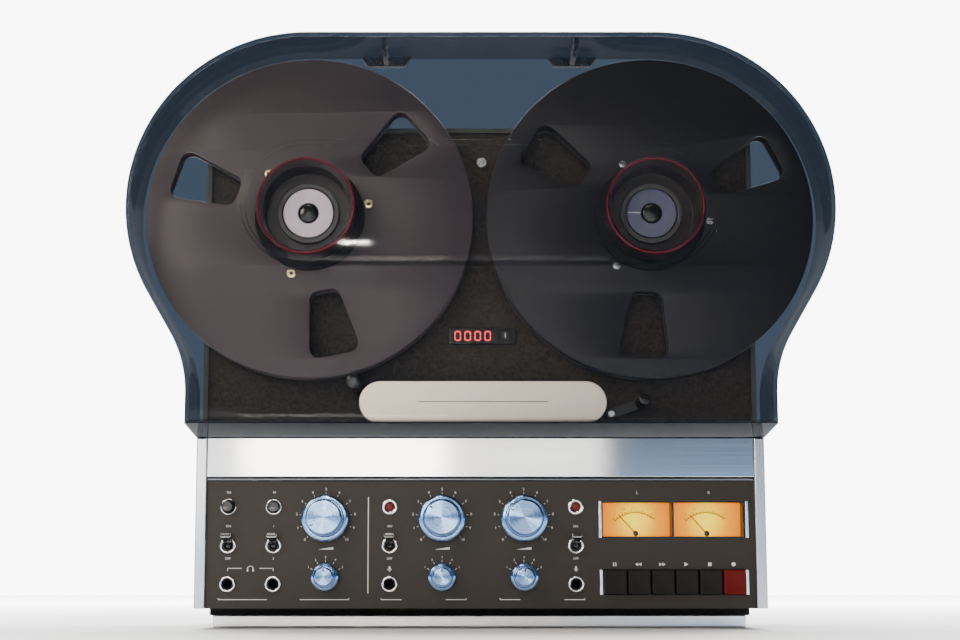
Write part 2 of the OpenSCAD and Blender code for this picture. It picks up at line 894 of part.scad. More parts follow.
module power_electronics() {
  floor_z = case_z + wall;
  color("#55503f") {
    block(-in_x + iron_in, -in_x + iron_in + iron_w, iron_f - iron_d, iron_f, floor_z, floor_z + iron_h);
    block(in_x - board_w, in_x, board_f - board_t, board_f, floor_z, floor_z + board_h);
    for (i = [0 : can_count - 1])
      at(in_x - board_w + (i + 0.5) * board_w / can_count, floor_z + can_rise)
        block(-can_w / 2, can_w / 2, board_f - board_t - can_d, board_f - board_t, 0, can_h);
  }
}

module rear_sockets() {
  plate_f = rear_f + socket_deep - socket_plate_t;
  mid_z = case_z + socket_rise + socket_h / 2;
  color("#1f2022") {
    difference() {
      block(socket_x - socket_w / 2, socket_x + socket_w / 2, inner_rear_f, rear_f + socket_deep,
        case_z + socket_rise, case_z + socket_rise + socket_h);
      block(socket_x - socket_w / 2 + socket_wall, socket_x + socket_w / 2 - socket_wall, inner_rear_f - over,
        plate_f, case_z + socket_rise + socket_wall, case_z + socket_rise + socket_h - socket_wall);
    }
    for (i = [0 : 3])
      for (s = [-1, 1])
        at(socket_x + socket_w / 2 - pin_in - i * pin_pitch, mid_z + s * pin_row / 2)
          rod(pin_r, rear_f + plug_sink, plate_f);
    at(socket_x - socket_w / 2 + inlet_in, mid_z)
      for (s = [-1, 0, 1])
        at(s * inlet_pitch, s == 0 ? inlet_step : -inlet_step)
          rod(inlet_r, rear_f + plug_sink, plate_f);
  }
}

module capstan() {
  color("#b8bbc0")
    at(capstan_x, head_z) {
      rod(capstan_r, flywheel_f - flywheel_t, block_t + head_t);
      rod(flywheel_r, flywheel_f - flywheel_t, flywheel_f);
    }
}

module pinch_arm() {
  half = pinch_pin_r + 1.5;
  color("#8f9296")
    at(pinch_x, pinch_pivot_z)
      difference() {
        union() {
          rod(half, arm_f, arm_f + arm_t);
          block(-half, half, arm_f, arm_f + arm_t, 0, pinch_arm_l);
          at(0, pinch_arm_l) {
            rod(half, arm_f, arm_f + arm_t);
            rod(pinch_axle_r, arm_f, pinch_f + pinch_l + 1);
          }
        }
        rod(pinch_pin_r + run_fit, arm_f - over, arm_f + arm_t + over);
      }
}

module pinch_roller() {
  color("#1a1a1a")
    at(pinch_x, pinch_z)
      tube(pinch_r, pinch_axle_r + run_fit, pinch_f, pinch_f + pinch_l);
}

module tension_arm() {
  half = tension_pin_r + 1.5;
  color("#2a2a2c")
    at(tension_x, tension_z)
      rotate([0, -tension_angle, 0])
        difference() {
          union() {
            rod(half, tension_f, tension_f + arm_t);
            block(0, tension_l, tension_f, tension_f + arm_t, -half, half);
            at(tension_l, 0) {
              rod(half, tension_f, tension_f + arm_t);
              rod(guide_r, tension_f, hood_h - 2);
            }
          }
          rod(tension_pin_r + run_fit, tension_f - over, tension_f + arm_t + over);
        }
}

// One flange with its three windows turned by an angle
module flange(f0, turn) {
  corners = [[window_in, -window_w_in / 2], [window_out, -window_w_out / 2],
    [window_out, window_w_out / 2], [window_in, window_w_in / 2]];
  difference() {
    rod(reel_d / 2, f0, f0 + flange_t);
    rod(bore_d / 2, f0 - over, f0 + flange_t + over);
    slab(f0 - over, f0 + flange_t + over)
      for (i = [0 : 2])
        rotate(turn + i * 120)
          round_quad(corners, window_r);
  }
}

// Reel on side s: two flanges, the core between them and three screws
module reel(s, window_turn, screw_turn) {
  at(s * hub_x, hub_z) {
    flange(reel_f, window_turn);
    flange(flange_f - flange_t, window_turn);
    tube(core_d / 2, bore_d / 2, reel_f + flange_t + seat_gap, flange_f - flange_t - seat_gap);
    for (i = [0 : 2])
      rotate([0, -screw_turn - i * 120, 0])
        at(reel_screw_at, 0)
          rod(reel_screw_r, flange_f - flange_t / 2, flange_f + screw_head_t);
  }
}

module left_reel() {
  color("#3d3438")
    reel(-1, left_window_turn, left_screw_turn);
}

module right_reel() {
  color("#1e1e20")
    reel(1, right_window_turn, right_screw_turn);
}

module adapter_cup(s) {
  color("#141416")
    at(s * hub_x, hub_z)
      difference() {
        union() {
          rod(bore_d / 2 - seat_gap, reel_f, flange_f);
          rod(cup_r, flange_f, adapter_f - rim_t);
        }
        rod(nose_r + seat_gap, reel_f - over, adapter_f);
        difference() {
          rod(cup_r - cup_wall, cup_floor_f, adapter_f);
          tube(lock_ring_r, disc_r + 1, cup_floor_f - over, disc_f);
        }
      }
}

module adapter_ring(s) {
  color("#8e1f3c")
    at(s * hub_x, hub_z) {
      tube(rim_r, cup_r - cup_wall, adapter_f - rim_t, adapter_f);
      tube(base_r, cup_r + seat_gap, flange_f, flange_f + base_t);
    }
}

module spindle(s) {
  color("#77797d")
    at(s * hub_x, hub_z) {
      rod(shaft_r, drum_end_f - drum_gap, nose_f);
      rod(table_r, table_gap, reel_f);
      rod(nose_r, table_gap, nose_f);
      rod(drum_r, drum_end_f, drum_f);
    }
}

module spindle_disc(s) {
  color("#c9bccb")
    at(s * hub_x, hub_z) {
      rod(disc_r, nose_f, disc_f);
      rod(button_dome_r, nose_f, disc_f + button_dome_h);
    }
}

module left_adapter_cup() {
  adapter_cup(-1);
}

module right_adapter_cup() {
  adapter_cup(1);
}

module left_adapter_ring() {
  adapter_ring(-1);
}

module right_adapter_ring() {
  adapter_ring(1);
}

module left_spindle() {
  spindle(-1);
}

module right_spindle() {
  spindle(1);
}

module left_spindle_disc() {
  spindle_disc(-1);
}

module right_spindle_disc() {
  spindle_disc(1);
}

module volume_ring() {
  color("#a9adb3")
    at(volume_x, case_z + knob_rise)
      difference() {
        union() {
          rod(knob_r, knob_f, knob_f + knob_skirt);
          rod(ring_shaft_r, pot_step_f, knob_f + 1);
        }
        rod(core_shaft_r + run_fit, pot_step_f - over, knob_f + knob_skirt + over);
      }
}

module volume_knob() {
  cap_f = knob_f + knob_skirt + move_gap;
  color("#c3c7cc")
    at(volume_x, case_z + knob_rise) {
      rod(cap_r, cap_f, cap_f + cap_h);
      rod(core_shaft_r, pot_back_f + 1, cap_f + 1);
    }
}

// Knob with a skirt and a smaller cap on one shaft
module knob(x, rise, skirt_r, skirt_h, top_r, top_h) {
  color("#b6bac0")
    at(x, case_z + rise) {
      rod(skirt_r, knob_f, knob_f + skirt_h);
      rod(top_r, knob_f, knob_f + skirt_h + top_h);
      rod(knob_shaft_r, pot_step_f, knob_f + 1);
    }
}

module level_knob_left() {
  knob(level_left_x, knob_rise, knob_r, knob_skirt, cap_r, cap_h);
}

module level_knob_right() {
  knob(level_right_x, knob_rise, knob_r, knob_skirt, cap_r, cap_h);
}

module selector(x) {
  knob(x, selector_rise, selector_r, selector_skirt, selector_cap_r, selector_cap_h);
}

module monitor_selector() {
  selector(volume_x);
}

module input_selector_left() {
  selector(level_left_x);
}

module input_selector_right() {
  selector(level_right_x);
}

// Speed button pushed in by the given distance
module speed_button(x, pushed) {
  color("#b9bcc1")
    at(x, case_z + lamp_rise)
      rod(button_r, button_tail_f - pushed, panel_f + button_out - pushed);
}

module speed_button_slow() {
  speed_button(power_x, 0);
}

module speed_button_fast() {
  speed_button(monitor_x, button_travel);
}

// Half outline of a lever's ball and its trunnion pins
module toggle_profile() {
  pin_l = toggle_hole_r - move_gap / 2;
  translate([0, -pin_l])
    square([toggle_pin_r, 2 * pin_l]);
  intersection() {
    circle(r = toggle_ball_r);
    translate([0, -toggle_ball_r])
      square([toggle_ball_r, 2 * toggle_ball_r]);
  }
}

// Toggle lever leaning upwards
module toggle(x) {
  color("#161617")
    translate([x, fy(toggle_f), case_z + toggle_rise])
      rotate([-toggle_lean, 0, 0]) {
        rotate([0, 90, 0])
          rotate_extrude()
            toggle_profile();
        rotate([90, 0, 0])
          cylinder(r = toggle_neck_r, h = toggle_neck_l + 1);
        translate([-paddle_w / 2, -toggle_neck_l - paddle_l, -toggle_paddle_t / 2])
          cube([paddle_w, paddle_l, toggle_paddle_t]);
      }
}

module power_toggle() {
  toggle(power_x);
}

module monitor_toggle() {
  toggle(monitor_x);
}

module record_toggle_left() {
  toggle(record_left_x);
}

module record_toggle_right() {
  toggle(record_right_x);
}

// Transport key number i, counted from the left
module key(i, tint) {
  color(tint)
    at(bank_x + (i - (key_count - 1) / 2) * key_pitch, key_z) {
      block(-key_w / 2, key_w / 2, key_base_f, panel_f + key_out, -key_h / 2, key_h / 2);
      block(-key_stem / 2, key_stem / 2, bank_back_f + key_travel, key_base_f, -key_stem / 2, key_stem / 2);
    }
}

module pause_key() {
  key(0, "#5a5650");
}

module rewind_key() {
  key(1, "#5a5650");
}

module forward_key() {
  key(2, "#5a5650");
}

module play_key() {
  key(3, "#5a5650");
}

module stop_key() {
  key(4, "#5a5650");
}

module record_key() {
  key(5, "#8e1a12");
}

// Outline of the cover, moved inwards by a distance
module cover_outline(inward) {
  r = cover_r - inward;
  low_x = cover_low_w / 2 - inward;
  tangent_x = hub_x + r * cos(cover_slope);
  tangent_z = hub_z - r * sin(cover_slope);
  shoulder_z = tangent_z - (tangent_x - low_x) / tan(cover_slope);
  polygon([[-hub_x, hub_z + r], [-hub_x, hub_z], [-tangent_x, tangent_z], [-low_x, shoulder_z],
    [-low_x, cover_z + inward], [low_x, cover_z + inward], [low_x, shoulder_z], [tangent_x, tangent_z],
    [hub_x, hub_z], [hub_x, hub_z + r]]);
  for (s = [-1, 1])
    translate([s * hub_x, hub_z])
      circle(r = r);
}

// Wall of the cover from its rear rim up to the face
module cover_wall() {
  difference() {
    slab(cover_rear_f, cover_front_f - cover_t - seat_gap)
      cover_outline(0);
    slab(cover_rear_f - over, cover_front_f)
      cover_outline(cover_t);
  }
}

// Face of the cover with its raised field
module cover_face() {
  difference() {
    union() {
      slab(cover_front_f - cover_t, cover_front_f)
        cover_outline(0);
      at(0, hub_z)
        slab(cover_front_f - cover_t / 2, field_f)
          stadium(hub_x, field_r);
    }
    at(0, hub_z)
      slab(cover_rear_f, field_f - cover_t)
        stadium(hub_x, field_r - cover_t);
  }
}

// Stretch of the wall within a range of x and z, less half a glue line all round
module cover_strip(x0, x1, z0, z1) {
  intersection() {
    cover_wall();
    block(x0 + seat_gap / 2, x1 - seat_gap / 2, cover_rear_f - over, cover_front_f,
      z0 + seat_gap / 2, z1 - seat_gap / 2);
  }
}

// Cover glued up from a moulded face and bent wall strips, with two ribs under its top
module dust_cover() {
  rib_top = cover_top - cover_t;
  reach = hub_x + cover_r + over;
  color("#2c3550", 0.45) {
    cover_face();
    cover_strip(-reach, reach, cover_z - over, cover_z + cover_t);
    cover_strip(-hub_x, hub_x, hub_z, cover_top + over);
    for (s = [-1, 1]) {
      cover_strip(min(s * hub_x, s * reach), max(s * hub_x, s * reach), hub_z, cover_top + over);
      cover_strip(min(0, s * reach), max(0, s * reach), cover_z + cover_t, hub_z);
      at(s * rib_x, rib_top) {
        block(-rib_t / 2, rib_t / 2, cover_rear_f, cover_front_f - cover_t - seat_gap, -rib_h, cover_t / 2);
        slab(cover_rear_f, cover_rear_f + rib_foot_t)
          polygon([[-rib_foot_w / 2 + rib_foot_taper, -rib_h], [rib_foot_w / 2 - rib_foot_taper, -rib_h],
            [rib_foot_w / 2, 0], [-rib_foot_w / 2, 0]]);
      }
    }
  }
}

cabinet();
rear_cover();
deck_plate();
control_panel();
front_trims();
base_plinth();
foot_rails();
chassis();
cabinet_screws();
drive_motors();
head_block();
head_cover();
head_plate();
counter_display();
meter_housing();
meter_dials();
meter_window();
panel_rings();
jack_sockets();
panel_switchgear();
record_lamps();
power_electronics();
rear_sockets();
capstan();
pinch_arm();
pinch_roller();
tension_arm();
counter_reset();
left_reel();
left_adapter_cup();
left_adapter_ring();
left_spindle();
left_spindle_disc();
right_reel();
right_adapter_cup();
right_adapter_ring();
right_spindle();
right_spindle_disc();
volume_ring();
volume_knob();
level_knob_left();
level_knob_right();
monitor_selector();
input_selector_left();
input_selector_right();
speed_button_slow();
speed_button_fast();
power_toggle();
monitor_toggle();
record_toggle_left();
record_toggle_right();
pause_key();
rewind_key();
forward_key();
play_key();
stop_key();
record_key();
needle_left();
needle_right();
dust_cover();
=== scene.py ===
# %% [markdown]
# # A reel-to-reel tape recorder under its smoked cover
# The machine's solids come from its construction model and stay where they are. Everything
# added here is a thin dress over them: turned knobs, lacquered reels, printed scales and a
# smoked cover. A CAD kernel could round every edge too, but a surface worked out with numpy is
# lighter and lets each finish follow the way the real piece was made.

# %% Load the frame
import bpy
import bmesh
import numpy as np
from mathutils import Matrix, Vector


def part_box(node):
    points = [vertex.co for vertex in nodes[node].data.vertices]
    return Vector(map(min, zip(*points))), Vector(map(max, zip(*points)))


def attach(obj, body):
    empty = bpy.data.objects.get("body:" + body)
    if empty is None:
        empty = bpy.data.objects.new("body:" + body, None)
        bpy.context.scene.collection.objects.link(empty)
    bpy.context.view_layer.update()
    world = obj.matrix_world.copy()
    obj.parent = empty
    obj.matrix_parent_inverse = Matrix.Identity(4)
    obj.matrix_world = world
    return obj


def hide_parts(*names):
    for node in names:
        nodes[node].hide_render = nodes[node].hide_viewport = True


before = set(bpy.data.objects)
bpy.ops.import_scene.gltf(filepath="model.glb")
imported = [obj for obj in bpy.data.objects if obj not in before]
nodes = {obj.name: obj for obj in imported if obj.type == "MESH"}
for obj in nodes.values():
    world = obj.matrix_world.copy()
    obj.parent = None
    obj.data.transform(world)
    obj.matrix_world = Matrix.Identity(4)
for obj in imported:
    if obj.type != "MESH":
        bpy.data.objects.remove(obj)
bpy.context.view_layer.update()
MM = 0.001
deck_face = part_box("deck_plate")[0].y
print(len(nodes), "nodes, deck face at y", round(deck_face, 4))

# %% [markdown]
# ## Camera
# The photograph was taken close to the table, looking slightly up, with the frame moved up
# and to the right of the lens's own axis. One could search for a matching view by eye, but
# the sizes of the case and of the reels fix the distance, the pitch and the two shifts.

# %% Camera
def add_object(name, data):
    """New object with this data, put into the scene."""
    thing = bpy.data.objects.new(name, data)
    bpy.context.scene.collection.objects.link(thing)
    return thing


eye = bpy.data.cameras.new("eye")
eye.sensor_width, eye.lens = 36, 47.42
eye.shift_x, eye.shift_y = 0.0303, 0.1461
eye.clip_start, eye.clip_end = 0.01, 60
camera = add_object("eye", eye)
camera.location = (-0.0235, deck_face - 1.025, 0.030)
camera.rotation_euler = (np.radians(95.89), 0, 0)
bpy.context.scene.camera = camera
print("camera at", [round(v, 3) for v in camera.location])

# %% [markdown]
# ## From a grid of points to a piece
# A turned knob, a rounded key and the cover are all one kind of thing: rows and columns of
# points. Blender can spin or bevel a shape too. Working out the points as arrays keeps every
# size in one formula, and merging the doubles afterwards closes seams and poles.

# %% Grids of points
def depth(f):
    """Y of a place that lies f millimetres in front of the deck plate."""
    return deck_face - np.asarray(f, float) * MM


def stand(flat, f):
    """Points of x and z in millimetres, stood up f millimetres in front of the deck plate."""
    x, z = np.moveaxis(np.asarray(flat, float), -1, 0) * MM
    return np.stack([x, np.broadcast_to(depth(f), x.shape), z], -1)


def grid_mesh(name, grids, crease):
    """Quads between neighbouring rows and columns of each array of points. The texture map
    counts columns as u and rows as v."""
    points, quads, maps, start = [], [], [], 0
    for grid in grids:
        rows, cols = grid.shape[:2]
        number = np.arange(rows * cols).reshape(rows, cols) + start
        corners = number[:-1, :-1], number[:-1, 1:], number[1:, 1:], number[1:, :-1]
        quads.append(np.stack(corners, -1).reshape(-1, 4))
        u, v = np.meshgrid(np.linspace(0, 1, cols), np.linspace(0, 1, rows))
        points.append(grid.reshape(-1, 3))
        maps.append(np.stack([u, v], -1).reshape(-1, 2))
        start += rows * cols
    points, quads, maps = (np.concatenate(rows) for rows in (points, quads, maps))
    mesh = bpy.data.meshes.new(name)
    mesh.from_pydata(points, [], quads.tolist())
    layer = mesh.uv_layers.new(name="UVMap")
    layer.data.foreach_set("uv", maps[quads.reshape(-1)].astype(np.float32).reshape(-1))
    close_mesh(mesh, crease)
    return mesh


def close_mesh(mesh, crease):
    """Merges doubles, turns normals outwards and keeps edges sharper than the crease angle."""
    work = bmesh.new()
    work.from_mesh(mesh)
    bmesh.ops.remove_doubles(work, verts=work.verts, dist=2e-6)
    bmesh.ops.dissolve_degenerate(work, edges=work.edges, dist=1e-7)
    bmesh.ops.recalc_face_normals(work, faces=work.faces)
    work.to_mesh(mesh)
    work.free()
    mesh.polygons.foreach_set("use_smooth", np.ones(len(mesh.polygons), bool))
    mesh.set_sharp_from_angle(angle=np.radians(crease))


def points_of(mesh):
    """Vertices of a mesh as rows of x, y and z."""
    co = np.empty(len(mesh.vertices) * 3)
    mesh.vertices.foreach_get("co", co)
    return co.reshape(-1, 3)


def map_flat(mesh, axes):
    """Texture map straight from the front, in metres, with u and v along these two axes."""
    corner = np.empty(len(mesh.loops), int)
    mesh.loops.foreach_get("vertex_index", corner)
    flat = points_of(mesh)[corner][:, axes]
    mesh.uv_layers["UVMap"].data.foreach_set("uv", flat.astype(np.float32).reshape(-1))


print("a grid of points can become a mesh")

# %% Pieces
paint = {}


def wear(mesh, tone):
    """Gives a mesh one finish from the list."""
    mesh.materials.clear()
    mesh.materials.append(paint[tone])


def place(name, mesh, tone, body, stands_for=()):
    """Puts a mesh into the scene as a piece that rides on a body."""
    piece = add_object(name, mesh)
    wear(mesh, tone)
    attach(piece, body)
    if stands_for:
        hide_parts(*stands_for)


def make(name, grids, tone, body, stands_for=(), crease=35, brush=None):
    """Grids of points made into a piece. A brushed one gets a flat map along these axes."""
    mesh = grid_mesh(name, grids, crease)
    if brush:
        map_flat(mesh, brush)
    place(name, mesh, tone, body, stands_for)
    return mesh


print("a mesh can ride on a body")

# %% Turned and carried outlines
def rounded(profile, radius, steps=4):
    """Profile with each inner corner replaced by a short curve: the corner is the middle
    control point of a quadratic curve between two points that lie radius away from it. One more
    point close to each end of the curve keeps the flats beside it flat when they are shaded."""
    p = np.asarray(profile, float)
    out = [p[:1]]
    t = np.linspace(0, 1, steps + 1)[:, None]
    for before, corner, after in zip(p[:-2], p[1:-1], p[2:]):
        back, on = before - corner, after - corner
        long_back, long_on = np.linalg.norm(back), np.linalg.norm(on)
        reach = min(radius, 0.4 * long_back, 0.4 * long_on)
        a, b = corner + back / long_back * reach, corner + on / long_on * reach
        curve = (1 - t) ** 2 * a + 2 * t * (1 - t) * corner + t ** 2 * b
        out += [a[None] + 0.2 * (a - corner), curve, b[None] + 0.2 * (b - corner)]
    return np.concatenate(out + [p[-1:]])


def lathe(profile, x, z, steps=96, edge=0.0):
    """Profile of radius and f, its corners rounded by edge, turned about a line along Y through
    x and z: point = (x + r cos t, y of f, z + r sin t)."""
    r, f = np.asarray(rounded(profile, edge) if edge else profile, float).T
    t = np.linspace(0, 2 * np.pi, steps + 1)[:, None]
    return stand(np.stack([x + r * np.cos(t), z + r * np.sin(t)], -1), f)


def round_rect(w, h, r, x=0, z=0, steps=6):
    """Closed outline of a rectangle with quarter circles at its corners, anticlockwise."""
    t = np.concatenate([np.linspace(q, q + np.pi / 2, steps + 1) for q in np.arange(4) * np.pi / 2])
    cx = np.repeat([1, -1, -1, 1], steps + 1) * (w / 2 - r)
    cz = np.repeat([1, 1, -1, -1], steps + 1) * (h / 2 - r)
    loop = np.stack([x + cx + r * np.cos(t), z + cz + r * np.sin(t)], -1)
    return np.concatenate([loop, loop[:1]])


def outward(loop):
    """Unit normals of a closed anticlockwise loop, from the difference of its neighbours."""
    ring = loop[:-1]
    along = np.roll(ring, -1, 0) - np.roll(ring, 1, 0)
    n = np.stack([along[:, 1], -along[:, 0]], -1)
    n /= np.maximum(np.linalg.norm(n, axis=1, keepdims=True), 1e-12)
    return np.concatenate([n, n[:1]])


def plate(loop, rings, shrink=None):
    """Outline carried along a list of (inset, f): each ring is the outline moved inwards along
    its normals, or by shrink where that is given. Both ends are closed by a narrow ring, which
    keeps the flat from being shaded as part of the edge, and one that shrinks to the middle."""
    inset, f = np.asarray(rings, float).T
    centre = loop[:-1].mean(0)
    narrow = min(0.4, 0.1 * np.abs(loop - centre).max(0).min())
    inset = np.r_[inset[0] + narrow, inset, inset[-1] + narrow]
    flat = np.stack([shrink(i) if shrink else loop - i * outward(loop) for i in inset])
    point = np.broadcast_to(centre, (1,) + loop.shape)
    f = np.r_[f[0], f[0], f, f[-1], f[-1]]
    return stand(np.concatenate([point, flat, point]), f[:, None])


def soft_edge(back, front, r, steps=4):
    """Rings from back to front whose last stretch turns inwards on a quarter circle."""
    a = np.linspace(0, np.pi / 2, steps + 1)
    arc = np.stack([r * (1 - np.cos(a)), front - r + r * np.sin(a)], -1)
    return np.concatenate([[[0, back]], arc])


def block(x, z, w, h, back, front, corner, edge):
    """Block about x and z with rounded outline and a rounded front edge. Its insets are smaller
    rectangles with smaller corners, down to sharp ones, so that no ring crosses itself."""
    shrink = lambda i: round_rect(w - 2 * i, h - 2 * i, max(corner - i, 0), x, z)
    return plate(shrink(0), soft_edge(back, front, edge), shrink)


def bar(x0, x1, z0, z1, *depths):
    """The same block, given by its four sides."""
    return block((x0 + x1) / 2, (z0 + z1) / 2, x1 - x0, z1 - z0, *depths)


print("profiles can be turned and outlines carried forwards")

# %% [markdown]
# ## Finishes
# Paint, plastic and metal differ in grain and in gloss more than in colour. An image could
# carry that, but a noise read from object coordinates has the right scale at every distance.
# One helper blends two tones, moves the roughness and lifts the surface with the same noise.

# %% Grain helper
def put(node, **values):
    """Sets a node's sockets by name, with _ for a blank."""
    for key, value in values.items():
        node.inputs[key.replace("_", " ")].default_value = value


def finish(name, **sockets):
    """New material, its tree and its shader, whose sockets are set by name."""
    material = bpy.data.materials.new(name)
    material.use_nodes = True
    shader = material.node_tree.nodes["Principled BSDF"]
    put(shader, **sockets)
    return material, material.node_tree, shader


def add_nodes(tree, *kinds):
    """New shader nodes of these kinds."""
    return [tree.nodes.new("ShaderNode" + kind) for kind in kinds]


def join(tree, *links):
    """Links that are given as a node, its output, another node and its input."""
    for source, output, target, socket in links:
        tree.links.new(source.outputs[output], target.inputs[socket])


def set_ramp(ramp, *stops):
    """Gives a colour ramp its stops, each a place and a colour or one number for a grey."""
    elements = ramp.color_ramp.elements
    for k, (at, colour) in enumerate(stops):
        stop = elements[k] if k < 2 else elements.new(at)
        stop.position, stop.color = at, (*np.broadcast_to(colour, 3), 1)


def coat(tone, name, dark, light, scale, rough, lift=2e-5, detail=5, spread=0.25, **sockets):
    """Finish with a grain: noise in object coordinates moves between two tones and two values of
    roughness, and lifts the surface a little."""
    paint[tone], tree, shader = finish(name, **sockets)
    where, turn, noise, blend, gloss, bump = add_nodes(
        tree, "TexCoord", "Mapping", "TexNoise", "ValToRGB", "MapRange", "Bump")
    put(noise, Scale=scale, Detail=detail)
    set_ramp(blend, (0.5 - spread, dark), (0.5 + spread, light))
    put(gloss, From_Min=0.3, From_Max=0.7, To_Min=rough[0], To_Max=rough[1])
    put(bump, Distance=lift, Strength=0.6)
    join(tree, (where, "Object", turn, "Vector"), (turn, "Vector", noise, "Vector"), (noise, "Fac", blend, "Fac"),
         (noise, "Fac", gloss, "Value"), (noise, "Fac", bump, "Height"), (blend, "Color", shader, "Base Color"),
         (gloss, "Result", shader, "Roughness"), (bump, "Normal", shader, "Normal"))
    return tree, shader, where, turn


coat("cabinet", "cabinet_grey", (0.022, 0.022, 0.023), (0.040, 0.040, 0.041), 900, (0.5, 0.65), 6e-5)
coat("rear", "rear_grey", (0.022, 0.022, 0.023), (0.036, 0.036, 0.037), 500, (0.45, 0.6), 4e-5)
coat("deck", "deck_speckle", (0.016, 0.0128, 0.0100), (0.043, 0.035, 0.028), 560, (0.42, 0.62), 1.2e-4, 3, 0.17,
     Specular_IOR_Level=0.2)
coat("panel", "panel_satin", (0.018, 0.0138, 0.0096), (0.024, 0.0188, 0.0135), 1500, (0.38, 0.46), 1e-5,
     Specular_IOR_Level=0.24)
coat("plinth", "plinth_black", 0.006, 0.014, 300, (0.6, 0.75), Specular_IOR_Level=0.1)
coat("hood", "hood_black", (0.008, 0.008, 0.009), (0.016, 0.016, 0.017), 800, (0.45, 0.6))
coat("inner", "cast_inner", (0.32, 0.33, 0.34), (0.46, 0.47, 0.48), 220, (0.4, 0.6), Metallic=0.8)
coat("steel", "ground_steel", (0.50, 0.51, 0.53), (0.66, 0.67, 0.69), 400, (0.22, 0.34), 4e-6, Metallic=1.0)
coat("black", "gloss_black", 0.006, 0.012, 400, (0.16, 0.26), 6e-6)
coat("cup", "cup_brown", (0.016, 0.012, 0.011), (0.026, 0.020, 0.018), 300, (0.32, 0.42), 6e-6)
coat("dark", "dark_satin", 0.014, 0.026, 600, (0.35, 0.5), 1e-5)
coat("grey", "mid_grey", (0.045, 0.042, 0.042), (0.07, 0.066, 0.066), 500, (0.3, 0.42), 6e-6)
coat("board", "circuit_brown", (0.10, 0.08, 0.04), (0.18, 0.15, 0.08), 150, (0.5, 0.7))
coat("rubber", "roller_rubber", 0.012, 0.022, 700, (0.7, 0.85))
coat("chrome", "ring_chrome", (0.80, 0.80, 0.82), (0.92, 0.92, 0.94), 300, (0.14, 0.22), 3e-6, Metallic=1.0)
coat("white", "print_white", (0.58, 0.58, 0.56), (0.70, 0.70, 0.68), 900, (0.5, 0.6), 2e-6)
coat("brass", "eyelet_brass", (0.86, 0.68, 0.34), (0.97, 0.84, 0.54), 500, (0.22, 0.34), 4e-6, Metallic=1.0)
coat("cream", "meter_cream", (0.50, 0.46, 0.36), (0.60, 0.56, 0.46), 400, (0.5, 0.6))
print(len(paint), "finishes so far")

# %% [markdown]
# ## Brushed and spun metal
# The band was brushed lengthways and the knobs were turned, so their scratches run along one
# direction and stretch each highlight across it. Thousands of scratches could be modelled. A
# noise squeezed along the brushing, and a shader that is told the direction, give the same look.

# %% Brushed and spun aluminium
def follow_map(tree, shader, where, turn, stretch):
    """Lets the grain follow the piece's own map, stretched, with a tangent along u."""
    tangent, = add_nodes(tree, "Tangent")
    tangent.direction_type, tangent.uv_map = "UV_MAP", "UVMap"
    put(turn, Scale=stretch)
    join(tree, (where, "UV", turn, "Vector"), (tangent, "Tangent", shader, "Tangent"))


def brushed(tone, name, dark, light, scale, rough, aniso, metallic=1.0):
    """Brushed metal: noise squeezed along u of a flat map, and highlights stretched across u."""
    workings = coat(tone, name, dark, light, 1, rough, 1e-6, Metallic=metallic, Anisotropic=aniso,
                    Anisotropic_Rotation=0.25)
    follow_map(*workings, (scale * 0.004, scale, 1))


def spun(tone, name, dark, light, rings, rough, aniso, metallic=1.0):
    """Turned metal: rings counted along u of the piece's own map, which runs along the turned
    profile, and highlights stretched along u, across the rings."""
    workings = coat(tone, name, dark, light, 8, rough, 2e-6, Metallic=metallic, Anisotropic=aniso)
    follow_map(*workings, (rings, 0.15, 1))


brushed("brushed", "brushed_aluminium", (0.62, 0.63, 0.65), (0.72, 0.73, 0.75), 1800, (0.11, 0.14), 0.8)
brushed("rail", "rail_aluminium", (0.56, 0.57, 0.59), (0.64, 0.65, 0.67), 1800, (0.24, 0.30), 0.6)
brushed("bead", "bead_aluminium", (0.13, 0.14, 0.16), (0.18, 0.19, 0.21), 1800, (0.24, 0.30), 0.6)
brushed("foot", "foot_aluminium", (0.90, 0.88, 0.84), (0.97, 0.95, 0.92), 900, (0.20, 0.28), 0.4, 0.9)
brushed("nameplate", "head_plate_aluminium", (0.96, 0.80, 0.66), (1.0, 0.87, 0.74), 1200, (0.30, 0.38), 0.4, 0.45)
# The knobs' blue tint is painted reflection: it stands for the blue surroundings that the bare aluminium mirrors.
spun("knob", "spun_aluminium_blue_reflection", (0.14, 0.26, 0.49), (0.33, 0.50, 0.79), 14, (0.17, 0.22), 1.0)
spun("anodised", "anodised_red", (0.085, 0.003, 0.012), (0.12, 0.005, 0.018), 6, (0.30, 0.38), 0.4, 0.5)
print("brushed:", paint["brushed"].name, "spun:", paint["knob"].name)

# %% [markdown]
# ## The fixed solids
# Cabinet, deck, panel, rear cover and everything inside already have the right shape, so their
# own meshes stay and only get a finish. Replacing them would add nothing that shows.

# %% Finishes on the fixed solids
dress = {
    "cabinet": "cabinet", "rear_cover": "rear", "deck_plate": "deck", "control_panel": "panel",
    "base_plinth": "plinth", "chassis": "inner", "cabinet_screws": "steel", "drive_motors": "inner",
    "head_block": "steel", "head_cover": "hood", "meter_housing": "cream", "panel_switchgear": "dark",
    "power_electronics": "board", "rear_sockets": "black", "capstan": "steel", "pinch_arm": "steel",
    "pinch_roller": "rubber", "tension_arm": "dark", "left_spindle": "inner", "right_spindle": "inner",
}
for node, tone in dress.items():
    wear(nodes[node].data, tone)
print(len(dress), "solids keep their own mesh")

# %% [markdown]
# ## Front trims
# A wide brushed band, a thin bead and two upright rails frame the control panel. They are
# extrusions on the real machine. A bevel on the solid would do; here an outline is carried
# along the depth and its last stretch turns inwards, so the front edges catch the light.

